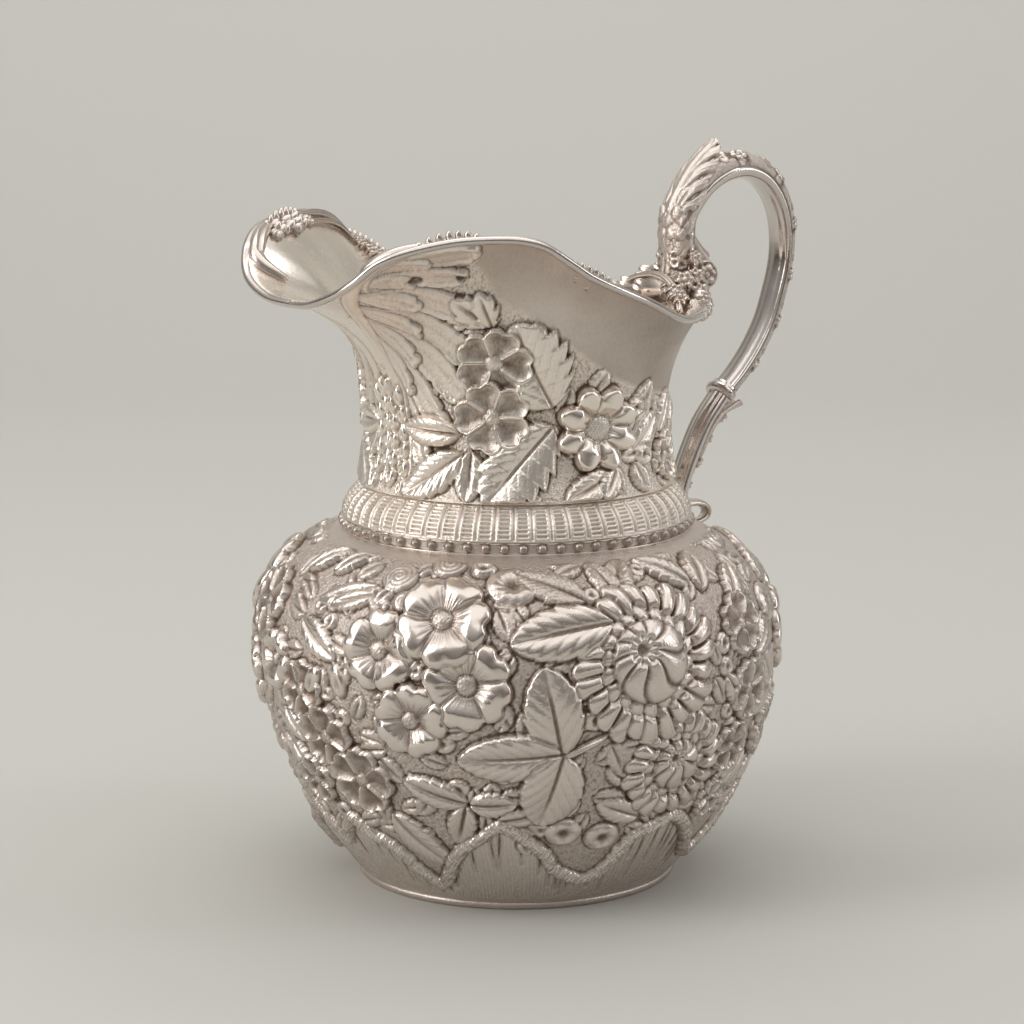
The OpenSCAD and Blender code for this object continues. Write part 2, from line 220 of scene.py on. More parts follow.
def leaf(length, width, bend=0.0, teeth=6, height=1.5, lift=0.5, gloss=0.9, tooth=0.13, vein=3.0):
    """Leaf from its base out along +x, with a sunk midrib, fine strokes and a toothed edge."""
    def f(x, y):
        t = np.clip(x / length, 0.001, 0.999)
        yb = y - bend * t * t
        w = 0.5 * width * (t ** 0.55 * (1 - t) ** 0.62) / 0.425
        if teeth:
            ph = t * teeth + np.where(yb > 0, 0.0, 0.5)
            w = w * (1 + tooth * 0.4 - tooth * (1 - (ph - np.floor(ph))) ** 1.1)
        d = (w - np.abs(yb)) * 0.8
        d = np.minimum(np.minimum(d, x * 0.9 + 0.3), (length - x) * 0.9)
        q = np.clip(np.abs(yb) / np.maximum(w, 0.05), 0, 1)
        belly = np.sin(math.pi * np.clip(0.10 + 0.74 * q, 0, 1)) ** 0.9
        body = 0.40 + 0.60 * np.sin(math.pi * t ** 0.8)
        rib = np.exp(-((yb / 0.42) ** 2)) * smooth(0.92, 0.55, t)
        stroke = np.sin(TURN * (np.abs(yb) * 0.85 - x * 0.30) / 0.95)
        ph = (x - 1.3 * np.abs(yb)) / vein
        line = np.exp(-(((ph - np.floor(ph) - 0.5) / 0.12) ** 2)) * smooth(0.02, 0.2, q)
        wave = np.sin(TURN * (ph + 0.25))
        h = lift + height * (0.22 + 0.95 * belly) * body - 0.55 * rib
        big = min(1, max(0, (width - 4) / 8))
        h = h + 0.014 * stroke + (0.09 * wave * q - 0.12 * line) * big
        h = h * (1 - 0.25 * (1 - np.clip(d / 0.9, 0, 1)) ** 2)
        dark = 0.7 * rib * (1 - 0.5 * t) + 0.18 * line * big * (1 - 0.6 * q) + 0.05 * smooth(0.2, 1, -stroke)
        return d, h, gloss - 0.14 - 0.1 * line + 0.04 * stroke, dark
    return f


def lobe(length, width, bend=0.0, height=1.5):
    """Lobe of an acanthus leaf: narrow at its root, scalloped, rolled at its edge, fluted along its run."""
    def f(x, y):
        t = np.clip(x / length, 0.001, 1)
        yb = y - bend * t * t
        w = 0.5 * width * (0.40 + 0.60 * smooth(0, 0.60, t))
        end = length - 0.5 * width
        d = np.where(x > end, 0.5 * width - np.hypot(np.maximum(x - end, 0), yb), w - np.abs(yb))
        round_tip = np.arctan2(np.abs(yb), np.maximum(x - end, 0.01)) * 0.5 * width
        run = np.where(x > end, end + 0.5 * math.pi * 0.5 * width - round_tip, x)
        d = d - 0.9 * (1 - np.abs(np.sin(math.pi * run / 5.0))) ** 2 * smooth(0.5, 0.8, t)
        d = np.minimum(d, x + 0.3)
        q = np.clip(yb / w, -1, 1)
        flute = 0.5 + 0.5 * np.cos(TURN * 1.5 * q + 1.5 * t)
        roll = np.exp(-(((d - 1.0) / 0.9) ** 2)) * smooth(0.45, 0.9, t)
        h = 0.15 + height * (0.25 + 0.75 * t * t) * (0.80 + 0.45 * q) * (0.85 + 0.15 * flute) + 0.5 * roll
        fine = np.sin(TURN * yb / 0.9)
        dark = 0.30 * (1 - flute) ** 3 * (1 - roll) + 0.10 * smooth(0.2, 1, fine)
        return d, h + 0.02 * fine, 0.55 + 0.25 * roll + 0.03 * fine, dark
    return f


def ray(r0, r1, w0, w1, height, lift, seed):
    """Ray petal of a chrysanthemum between two distances from its centre, curled at the tip."""
    def f(x, y):
        t = np.clip((x - r0) / (r1 - r0), 0, 1)
        yb = y - 0.16 * (r1 - r0) * t * t - 0.05 * (r1 - r0) * math.sin(seed) * t
        w = w0 + (w1 - w0) * t ** 0.8
        round_r = w1
        over = np.maximum(x - (r1 - round_r), 0)
        d = np.where(x > r1 - round_r, round_r - np.hypot(over, yb), w - np.abs(yb))
        d = np.minimum(d, x - r0)
        q = np.clip(np.abs(yb) / w, 0, 1)
        curl = np.sin(math.pi * (0.18 + 0.72 * t))
        h = lift + height * (0.25 + 0.85 * curl) * np.sqrt(1 - 0.88 * q * q)
        groove = np.exp(-(((yb - 0.30 * w) / 0.28) ** 2)) * smooth(0.1, 0.4, t) * smooth(0.95, 0.7, t)
        h = h - 0.18 * groove
        return d, h, 0.85 - 0.2 * groove, 0.2 * groove + 0.3 * smooth(0.6, 1, q) + 0.35 * smooth(0.3, 0, t)
    return f


def mum_cup(r, height, lean=0.40, petals=9):
    """Incurved ball at the centre of a chrysanthemum, its mouth off towards +x."""
    def f(x, y):
        rho = np.hypot(x, y) / r
        ox, oy = x - lean * r, y
        a = np.arctan2(oy, ox)
        ro = np.hypot(ox, oy)
        dome = height * np.sqrt(np.clip(1 - 0.85 * rho**2, 0, 1))
        swirl = a + 0.35 * np.sin(rho * 2.5)
        ph = swirl / TURN * petals
        u = np.abs(ph - np.floor(ph) - 0.5) * 2
        far = smooth(0.28, 0.42, ro / r)
        seam = smooth(0.62, 1.0, u)
        h = dome + 0.85 * np.sqrt(np.clip(1 - u * u, 0, 1)) * far - 0.55 * seam * far
        ph2 = ph * 1.0 + 0.5
        u2 = np.abs(ph2 - np.floor(ph2) - 0.5) * 2
        tips = (1 - far) * smooth(0.10, 0.2, ro / r)
        h = h + tips * (0.9 * np.sqrt(np.clip(1 - u2 * u2, 0, 1)) - 0.9)
        hole = smooth(0.20, 0.08, ro / r)
        h = h - 1.5 * hole
        dark = np.clip(0.85 * seam * far + 0.8 * hole + 0.7 * smooth(0.6, 1.0, u2) * tips
                       + 0.5 * smooth(0.85, 1.0, rho), 0, 1)
        return (1 - rho) * r, h, 0.78 - 0.4 * dark, dark
    return f


def bud_ring(r, height=1.6, swirl=4.0):
    """Rolled bud: a ring with a dark hollow and spiral lines."""
    def f(x, y):
        rho = np.hypot(x * 0.92, y)
        a = np.arctan2(y, x)
        ring = np.exp(-(((rho - 0.60 * r) / (0.36 * r)) ** 2))
        line = np.sin(a * swirl * 3 + rho / r * 9)
        hole = smooth(0.42, 0.15, rho / r)
        h = 0.4 + height * ring + 0.07 * line
        return r - rho, h, 0.75 - 0.5 * hole, 0.75 * hole + 0.15 * smooth(0.3, 1, line)
    return f


def spiral(r, height=1.3, pitch=1.5):
    """Small rosette chased with a spiral line."""
    def f(x, y):
        rho, a = np.hypot(x, y), np.arctan2(y, x)
        ph = rho / pitch - a / TURN
        line = np.cos(TURN * ph)
        h = 0.3 + height * np.sqrt(np.clip(1 - 0.85 * (rho / r) ** 2, 0, 1)) + 0.16 * line
        return r - rho, h, 0.6 + 0.2 * line, 0.45 * smooth(-0.2, -1, line)
    return f


def oval_bud(length, width):
    """Closed bud: a hollow oval leaf with raised sides."""
    def f(x, y):
        u, v = x / (0.5 * length), y / (0.5 * width)
        rho = np.hypot(u, v)
        d = (1 - rho) * 0.5 * width
        h = 0.5 + 1.5 * np.sqrt(np.clip(1 - 0.8 * rho**2, 0, 1))
        pit = np.exp(-(((u + 0.25) / 0.45) ** 2 + (v / 0.35) ** 2))
        return d, h - 0.8 * pit, 1.0 - 0.3 * pit, 0.35 * pit
    return f


def dash(length, half):
    """Short stroke cut into the metal."""
    def f(x, y):
        rho = np.hypot(x / (0.5 * length), y / half)
        return (1 - rho) * half, -0.45 + 0 * x, np.full_like(x, 0.3), np.full_like(x, 0.85)
    return f


def flower(rel, at, r, count, turn, kind, lift=0.35, centre=0.22, skip=()):
    half = r * math.sin(math.pi / count) * {"plain": 0.80, "heart": 0.88, "cup": 0.80}[kind]
    order = list(range(0, count, 2)) + list(range(1, count, 2))
    for k in order:
        if k in skip:
            continue
        extra = 0.18 * (k % 2)
        rel.stamp(at, turn + 360 * k / count, petal(r, half, kind, lift + extra, k * 1.7), r * 1.1)
    rel.stamp(at, 0, button(centre * r, 1.7 + lift * 0.6), r * 0.5, 0.7)


def mum(rel, at, cup_r, out_r, turn, lean_turn, rays=20, cup_h=3.2):
    """Chrysanthemum: two rows of thick curled rays round an incurved ball."""
    gap = out_r - cup_r
    for ring, (r0, r1, n, lift, height) in enumerate((
            (cup_r + gap * 0.18, out_r, rays, 0.4, 2.3),
            (cup_r * 0.7, cup_r + gap * 0.34, rays - 6, 0.2, 1.3))):
        for k in range(n):
            a = turn + 360 * (k + 0.5 * (ring % 2)) / n
            w1 = math.pi * (r1 - 1.2) / n * 1.06
            w0 = math.pi * r0 / n * 0.85
            rel.stamp(at, a, ray(r0, r1 * (1 + 0.05 * math.sin(k * 2.1)), w0, w1, height, lift,
                                 k * 1.3 + ring), r1 * 1.15, 0.65)
    rel.stamp(at, lean_turn, mum_cup(cup_r, cup_h), cup_r * 1.2, 0.8)


# ------------------------------------------------------------------ meshes


def make_mesh(name, points, faces, attributes=None):
    """Mesh from points in millimetres, with smooth shading and point attributes."""
    mesh = bpy.data.meshes.new(name)
    points = np.asarray(points, float).reshape(-1, 3) * MM
    if isinstance(faces, np.ndarray):
        mesh.vertices.add(len(points))
        mesh.vertices.foreach_set("co", points.ravel())
        mesh.loops.add(faces.size)
        mesh.loops.foreach_set("vertex_index", faces.astype(np.int32).ravel())
        mesh.polygons.add(len(faces))
        mesh.polygons.foreach_set("loop_start", np.arange(0, faces.size, 4, dtype=np.int32))
        mesh.update(calc_edges=True)
    else:
        mesh.from_pydata(points.tolist(), [], faces)
    mesh.polygons.foreach_set("use_smooth", np.ones(len(mesh.polygons), bool))
    for key, values in (attributes or {}).items():
        layer = mesh.attributes.new(key, "FLOAT", "POINT")
        layer.data.foreach_set("value", np.asarray(values, np.float32).ravel())
    mesh.update()
    piece = bpy.data.objects.new(name, mesh)
    bpy.context.scene.collection.objects.link(piece)
    return piece


def grid_faces(rows, cols, close_rows, close_cols, flip=False):
    j = np.arange(rows if close_rows else rows - 1)
    i = np.arange(cols if close_cols else cols - 1)
    jj, ii = np.meshgrid(j, i, indexing="ij")
    j2, i2 = (jj + 1) % rows, (ii + 1) % cols
    quad = np.stack([jj * cols + ii, jj * cols + i2, j2 * cols + i2, j2 * cols + ii], -1)
    quad = quad.reshape(-1, 4)
    return quad[:, ::-1] if flip else quad


def normals(p, wrap_cols=True):
    """Outward normals of a grid of points whose columns run round and rows run along."""
    if wrap_cols:
        du = np.roll(p, -1, 1) - np.roll(p, 1, 1)
    else:
        du = np.gradient(p, axis=1)
    dv = np.gradient(p, axis=0)
    n = np.cross(du, dv)
    return n / np.maximum(np.linalg.norm(n, axis=2, keepdims=True), 1e-9)


def round_points(theta, r, z):
    """Points at turn angles from the spout (towards the side facing -Y), radii and heights."""
    theta, r, z = np.broadcast_arrays(theta, r, z)
    return np.stack([-r * np.cos(theta), -r * np.sin(theta), z], -1)


def finish(piece, node, material):
    piece.data.materials.clear()
    piece.data.materials.append(material)
    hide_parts(node)
    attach(piece, "root")


def mat_ground(rel, seed, depth=0.085):
    """Punches a fine matted grain into whatever isn't polished."""
    rng = np.random.default_rng(seed)
    noise = rng.normal(0, 1, rel.h.shape)
    soft = (noise + np.roll(noise, 1, 0) + np.roll(noise, 1, 1) + np.roll(noise, (1, 1), (0, 1))) / 2
    rough = np.clip(1.05 - rel.polish, 0.04, 1) ** 1.3
    rel.h += depth * soft * rough
    rel.dark += 0.35 * smooth(0.3, -1.6, soft) * rough


def relief_attributes(rel, pad_rows, wrap=True, span=3):
    """Polish, tarnish with any painted shade it carries, and cavity for the relief rows, then plain values
    for the rows after.
    """
    cavity = rel.h - blur(rel.h, span, span, wrap)
    extra = (pad_rows, rel.h.shape[1])
    return {
        "polish": np.concatenate([np.clip(rel.polish, 0, 1), np.full(extra, 0.8)]),
        "tarnish": np.concatenate([np.clip(rel.dark, 0, 1), np.zeros(extra)]),
        "cavity": np.concatenate([cavity, np.zeros(extra)]),
    }


# ------------------------------------------------------------------ materials


def silver(name, base=(0.775, 0.71, 0.668), oxide_and_shade=(0.25, 0.19, 0.155), matte=0.50, bright=0.21,
           stipple_mm=0.6, stipple_depth=0.10, use_relief=True, plain_polish=0.8, streak=0.25,
           veil=0.22, depth=0.68):
    """Silver: bright where polished, matted ground, brown oxide in the recesses, and painted shade where the
    tarnish attribute carries it.
    """
    mat = bpy.data.materials.new(name)
    mat.use_nodes = True
    nodes, links = mat.node_tree.nodes, mat.node_tree.links
    nodes.clear()

    def node(kind, **values):
        n = nodes.new(kind)
        for key, value in values.items():
            setattr(n, key, value)
        return n

    def math_node(op, a, b=None, clamp=False):
        n = node("ShaderNodeMath", operation=op, use_clamp=clamp)
        for i, v in enumerate((a, b)):
            if v is None:
                continue
            if isinstance(v, (int, float)):
                n.inputs[i].default_value = v
            else:
                links.new(v, n.inputs[i])
        return n.outputs[0]

    out = node("ShaderNodeOutputMaterial")
    shader = node("ShaderNodeBsdfPrincipled")
    links.new(shader.outputs[0], out.inputs[0])
    shader.inputs["Metallic"].default_value = 1.0
    where = node("ShaderNodeTexCoord").outputs["Object"]

    def noise(scale, detail, rough=0.5):
        n = node("ShaderNodeTexNoise")
        n.inputs["Scale"].default_value = scale
        n.inputs["Detail"].default_value = detail
        n.inputs["Roughness"].default_value = rough
        links.new(where, n.inputs["Vector"])
        return n.outputs["Fac"]

    cloud = noise(38, 4)
    mottle = noise(260, 3, 0.6)
    fine = noise(2600, 2, 0.6)
    if use_relief:
        polish = node("ShaderNodeAttribute", attribute_name="polish").outputs["Fac"]
        tarnish = node("ShaderNodeAttribute", attribute_name="tarnish").outputs["Fac"]
        cavity = node("ShaderNodeAttribute", attribute_name="cavity").outputs["Fac"]
        hollow = math_node("MULTIPLY", cavity, -0.9, True)
    else:
        polish = math_node("ADD", math_node("MULTIPLY", mottle, 0.1), plain_polish - 0.05, True)
        tarnish = math_node("MULTIPLY", math_node("SUBTRACT", cloud, 0.55, True), 1.0, True)
        hollow = math_node("MULTIPLY", math_node("SUBTRACT", mottle, 0.6, True), 0.6, True)

    # oxide in the chased lines and hollows, plus painted shade from the tarnish attribute, broken up by the
    # clouds
    stain_and_shade = math_node("ADD", math_node("MULTIPLY", tarnish, depth), hollow)
    stain_and_shade = math_node("MULTIPLY", stain_and_shade, math_node("ADD", cloud, 0.40), True)
    matted = math_node("SUBTRACT", 1.0, polish, True)
    stain_and_shade = math_node("ADD", stain_and_shade, math_node("MULTIPLY", matted, veil), True)

    tone = node("ShaderNodeMix", data_type="RGBA")
    tone.inputs["A"].default_value = (*base, 1)
    tone.inputs["B"].default_value = (base[0] * 0.94, base[1] * 0.90, base[2] * 0.86, 1)
    links.new(cloud, tone.inputs["Factor"])
    colour = node("ShaderNodeMix", data_type="RGBA")
    colour.inputs["B"].default_value = (*oxide_and_shade, 1)
    links.new(tone.outputs["Result"], colour.inputs["A"])
    links.new(stain_and_shade, colour.inputs["Factor"])
    links.new(colour.outputs["Result"], shader.inputs["Base Color"])

    rough = node("ShaderNodeMapRange")
    rough.inputs["To Min"].default_value = matte
    rough.inputs["To Max"].default_value = bright
    links.new(polish, rough.inputs["Value"])
    wobble = math_node("MULTIPLY", math_node("SUBTRACT", mottle, 0.5), 0.16)
    total = math_node("ADD", rough.outputs["Result"], wobble)
    total = math_node("ADD", total, math_node("MULTIPLY", stain_and_shade, 0.22), True)
    links.new(total, shader.inputs["Roughness"])

    # matting punch marks on the ground, hammer softness and polishing marks elsewhere
    punch = node("ShaderNodeTexVoronoi", feature="F1")
    punch.inputs["Scale"].default_value = 1000 / stipple_mm
    links.new(where, punch.inputs["Vector"])
    dots = math_node("MULTIPLY", punch.outputs["Distance"], matted)
    bump = node("ShaderNodeBump")
    bump.inputs["Strength"].default_value = 0.9
    bump.inputs["Distance"].default_value = stipple_depth * MM * 2
    links.new(dots, bump.inputs["Height"])
    marks = node("ShaderNodeBump")
    marks.inputs["Strength"].default_value = streak
    marks.inputs["Distance"].default_value = 0.02 * MM
    links.new(fine, marks.inputs["Height"])
    links.new(bump.outputs["Normal"], marks.inputs["Normal"])
    hammer = node("ShaderNodeBump")
    hammer.inputs["Strength"].default_value = 0.25
    hammer.inputs["Distance"].default_value = 0.25 * MM
    links.new(mottle, hammer.inputs["Height"])
    links.new(marks.outputs["Normal"], hammer.inputs["Normal"])
    links.new(hammer.outputs["Normal"], shader.inputs["Normal"])
    return mat


chased = silver("chased_silver")
# brighter copy of chased_silver for the neck and collar: its lighter base and thinner veil are painted
# light, standing in for the extra light those parts catch
chased_painted_lit = silver("chased_silver_painted_lit", base=(0.95, 0.885, 0.822), matte=0.52, bright=0.23,
                      veil=0.06, depth=0.80)
cast = silver("cast_silver", stipple_mm=0.5, veil=0.16)
polished = silver("polished_silver", base=(0.70, 0.655, 0.632), use_relief=False,
                  plain_polish=0.92, bright=0.08, streak=0.12)
satin = silver("satin_silver", use_relief=False, plain_polish=0.35)


# ------------------------------------------------------------------ where things are

def columns(near, far):
    """Turn angles from the spout, closer together on the side that shows the main flowers."""
    a = np.linspace(-40, 140, near, endpoint=False)
    b = np.linspace(140, 320, far, endpoint=False)
    return np.radians(np.concatenate([a, b]))


def fold_turn(theta):
    """Unsigned angle from the spout in degrees, 0 to 180."""
    a = np.degrees(theta) % 360
    return np.where(a > 180, 360 - a, a)


def body_radius(z):
    return BODY_R * curve(BODY_ROWS, z, 1)


BODY_Z = np.linspace(FOOT_H, SEAM_Z, 1500)
BODY_ARC = np.concatenate([[0], np.cumsum(np.hypot(np.diff(BODY_Z), np.diff(body_radius(BODY_Z))))])


def arc_of(z):
    return float(np.interp(z, BODY_Z, BODY_ARC))


def neck_profile(theta, t):
    """Radius, height and outward normal (radial, up) on the neck sheet, for t from 0 to 1."""
    a = fold_turn(theta)
    r, z = curve(RIM_ROWS, a, 1), curve(RIM_ROWS, a, 2)
    flare = np.maximum((r - 58) / 24, 0)
    p = [(NECK_R + 0 * r, NECK_Z + 0 * z), (NECK_R - 4 + 0 * r, NECK_Z + 14.5 + 0 * z),
         (NECK_R - 2.9 - 6.5 * flare, NECK_Z + 38.5 + 0.5 * (z - 176) + 10.5 * flare), (r, z)]
    w = [(1 - t) ** 3, 3 * (1 - t) ** 2 * t, 3 * (1 - t) * t**2, t**3]
    out = [sum(w[k] * p[k][c] for k in range(4)) for c in (0, 1)]
    e = [3 * (1 - t) ** 2, 6 * (1 - t) * t, 3 * t**2]
    d = [sum(e[k] * (p[k + 1][c] - p[k][c]) for k in range(3)) for c in (0, 1)]
    size = np.hypot(d[0], d[1])
    return out[0], out[1], d[1] / size, -d[0] / size


def neck_point(degrees, t, depth=0.0):
    """A point on the neck sheet, and its inward normal, at a turn angle in degrees."""
    th = np.radians(np.asarray(degrees, float))
    r, z, nr, nz = neck_profile(th, np.asarray(t, float))
    point = round_points(th, r - depth * nr, z - depth * nz)
    inward = round_points(th, -nr, -nz)
    return point, inward


# ------------------------------------------------------------------ body



class Sheet:
    """Places motifs on a relief by turn angle in degrees and a second coordinate."""

    def __init__(self, rel, to_arc, radius_at, mirrored=False, keep=None):
        self.rel, self.to_arc, self.radius_at = rel, to_arc, radius_at
        self.mirrored, self.keep = mirrored, keep

    def spot(self, at):
        a = -at[0] if self.mirrored else at[0]
        return math.radians(a), self.to_arc(*at)

    def angle(self, turn):
        return 180 - turn if self.mirrored else turn

    def shown(self, at):
        return self.keep is None or self.keep(at)

    def stamp(self, at, turn, motif, reach, line=0.45):
        if self.shown(at):
            self.rel.stamp(self.spot(at), self.angle(turn), motif, reach, line)

    def leaf(self, base, tip, width, line=0.45, **shape):
        if not self.shown(base):
            return
        b, t = self.spot(base), self.spot(tip)
        dx = (t[0] - b[0]) * self.radius_at(0.5 * (base[0] + tip[0]), 0.5 * (base[1] + tip[1]))
        dy = t[1] - b[1]
        length = math.hypot(dx, dy)
        if self.mirrored:
            shape["bend"] = -shape.get("bend", 0.0)
        motif = leaf(length, width, **shape)
        self.rel.stamp(b, math.degrees(math.atan2(dy, dx)), motif, length * 1.15 + width, line)

    def feather(self, base, tip, width, bend):
        b, t = self.spot(base), self.spot(tip)
        dx = (t[0] - b[0]) * self.radius_at(0.5 * (base[0] + tip[0]), 0.5 * (base[1] + tip[1]))
        dy = t[1] - b[1]
        motif = lobe(math.hypot(dx, dy), width, -bend if self.mirrored else bend)
        self.rel.stamp(b, math.degrees(math.atan2(dy, dx)), motif, math.hypot(dx, dy) + width, 0.60, 0.36)

    def flower(self, at, r, count, turn, kind, **more):
        if self.shown(at):
            flower(self.rel, self.spot(at), r, count, self.angle(turn), kind, **more)

    def mum(self, at, cup_r, out_r, turn, lean, **more):
        if self.shown(at):
            mum(self.rel, self.spot(at), cup_r, out_r, turn, self.angle(lean), **more)


def body_motifs(sheet):
    """The garland on one side of the body: turn angle from the spout, height."""
    # leaves at the upper left, behind the cherry blossoms
    sheet.leaf((20, 99.5), (3, 94), 6.5, height=1.0)
    sheet.leaf((19.5, 97.5), (8, 93.5), 6, height=1.0)
    sheet.leaf((9, 106), (2, 101), 6)
    sheet.leaf((1, 88), (13, 79), 9, height=1.4, gloss=1.0)
    sheet.stamp((6, 71.5), 60, oval_bud(9, 5.5), 7)
    sheet.stamp((14, 73), 105, oval_bud(10, 5), 7)
    sheet.stamp((24, 102.5), 0, spiral(5.5), 6)
    sheet.stamp((36, 106), 20, spiral(5), 6)
    sheet.stamp((28, 97), 20, spiral(3.5), 4)
    sheet.stamp((54, 102), 0, bud_ring(7.2), 8)
    sheet.stamp((46, 105.5), 0, bud_ring(3.5), 4)
    # leaves round the top of the chrysanthemum
    sheet.leaf((71, 98), (56, 104.5), 11, height=1.2, gloss=0.5, vein=2.0)
    sheet.leaf((77, 93.5), (84, 107), 10, gloss=0.75)
    sheet.leaf((80, 94), (76, 107), 8, gloss=0.6, height=1.0)
    sheet.leaf((101, 99), (91, 106.5), 9, gloss=0.7)
    sheet.leaf((104, 97), (110, 106), 8, gloss=0.7)
    sheet.leaf((113, 92), (121, 101), 9)
    # lower leaves and small rosettes
    sheet.leaf((43.5, 39), (28, 44), 9, bend=-1.0)
    sheet.leaf((44, 38.5), (55, 39), 8.5)
    sheet.leaf((43, 38), (40, 25), 8.5)
    sheet.leaf((23.5, 33), (35, 16.5), 10, bend=1.0)
    sheet.leaf((50, 33), (62, 36), 6, height=1.0)
    sheet.leaf((86, 32), (74, 38), 8, height=1.1)
    sheet.leaf((96, 36), (105, 33), 7, height=1.1)
    sheet.stamp((66.5, 29), 0, bud_ring(5.0, swirl=2.0), 6)
    sheet.stamp((77, 26.5), 0, bud_ring(5.0, swirl=2.0), 6)
    sheet.stamp((58, 24.5), 0, bud_ring(3.2), 4)
    sheet.stamp((88, 36.5), 0, bud_ring(4.2), 5)
    sheet.stamp((52, 50), 0, spiral(4.5), 5)
    # small flowers beyond the chrysanthemums
    sheet.leaf((119, 76), (128, 84), 8)
    sheet.leaf((106, 72), (112, 62), 7)
    sheet.flower((113, 86), 9.5, 5, 20, "cup")
    sheet.flower((115, 66), 9.5, 5, 50, "cup")
    sheet.flower((112, 49), 8.5, 5, 5, "cup")
    sheet.flower((110, 33), 6.5, 5, 30, "cup")
    # chrysanthemums
    sheet.mum((93, 48), 8.0, 17.5, 10, 120, rays=20, cup_h=3.0)
    sheet.mum((84, 80.5), 12.0, 24, 0, 130, rays=24, cup_h=3.8)
    # large polished leaf over their left edge
    sheet.leaf((76, 92), (53, 89), 15, bend=2.0, height=2.2, gloss=1.0, teeth=5, tooth=0.08, vein=5)
    # trefoil with nearly plain edges
    sheet.stamp((69, 56.5), 25, oval_bud(17, 1.8), 10)
    sheet.leaf((64.5, 55), (60.5, 81), 16.5, height=2.2, tooth=0.06, vein=4.5)
    sheet.leaf((64.5, 55), (42, 53), 14.5, height=2.2, tooth=0.06, vein=4.5)
    sheet.leaf((65, 54.5), (60.5, 32), 17.5, height=2.2, tooth=0.06, vein=4.5)
    # cup flowers at the lower left
    sheet.flower((8.5, 54.5), 10.3, 5, 88, "cup")
    sheet.flower((17, 43), 11, 5, 76, "cup", lift=0.55)
    # cherry blossoms
    sheet.flower((24.5, 83.5), 12.2, 5, 90, "heart")
    sheet.flower((44.5, 75.5), 13.5, 5, 43, "heart")
    sheet.flower((32, 64), 11.5, 5, 6, "heart")
    sheet.flower((38.5, 93), 14, 5, 66, "heart", lift=1.0)


def body_front(sheet):
    """Under the spout."""
    sheet.leaf((-8, 100), (-1, 106.5), 7)
    sheet.leaf((-6, 60), (0, 51), 8)
    sheet.leaf((-7, 49), (0, 40), 8)
    sheet.flower((-18.5, 89), 11.5, 5, 80, "cup", lift=0.5)
    sheet.flower((2, 67.5), 9.5, 5, 70, "cup")
    sheet.flower((-9, 74), 9, 5, 50, "heart")
    sheet.flower((0, 39), 8, 5, 90, "cup")


def body_back(sheet):
    """Under the handle, on one side of it."""
    sheet.leaf((150, 100), (137, 93), 10)
    sheet.leaf((152, 98), (166, 102), 9)
    sheet.leaf((128, 66), (117, 58), 12)
    sheet.leaf((128, 64), (120, 79), 12)
    sheet.leaf((140, 40), (128, 34), 9)
    sheet.leaf((156, 60), (168, 66), 11)
    sheet.leaf((156, 58), (162, 44), 11)
    sheet.leaf((122, 45), (114, 36), 10)
    sheet.leaf((176, 56), (172, 44), 9)
    sheet.stamp((131, 88), 0, bud_ring(6), 7)
    sheet.stamp((168, 34), 0, bud_ring(5), 6)
    sheet.stamp((150, 30), 0, spiral(4.5), 5)
    sheet.flower((146, 76), 13, 5, 30, "heart")
    sheet.flower((132, 50), 10, 5, 60, "cup")
    sheet.flower((162, 84), 12, 5, 0, "heart", lift=0.8)
    sheet.flower((147, 49), 11, 5, 15, "heart")
    sheet.flower((176, 72), 9, 5, 75, "cup", lift=0.6)


# path of the vine that ends the chasing above the plain skirt: turn angle from the spout, height
VINE = [(0, 19), (8, 28), (14, 24), (21, 20), (25, 14), (32, 9.5), (39, 21), (47, 28.5), (51, 31.5),
        (56, 28), (62, 22), (66, 15.5), (74, 11.5), (80, 14), (86, 25), (93, 28), (98, 30), (105, 25),
        (116, 13), (124, 17), (132, 27), (141, 30), (150, 22), (158, 12), (168, 14), (180, 25)]


def chain(points, per=12):
    """Rounded path through points."""
    p = np.array([points[0]] + list(points) + [points[-1]], float)
    out = []
    for i in range(1, len(p) - 2):
        t = np.linspace(0, 1, per, endpoint=False)[:, None]
        out.append(0.5 * (2 * p[i] + (p[i + 1] - p[i - 1]) * t
                          + (2 * p[i - 1] - 5 * p[i] + 4 * p[i + 1] - p[i + 2]) * t**2
                          + (3 * p[i] - p[i - 1] - 3 * p[i + 1] + p[i + 2]) * t**3))
    out.append(p[-2:-1])
    return np.concatenate(out)


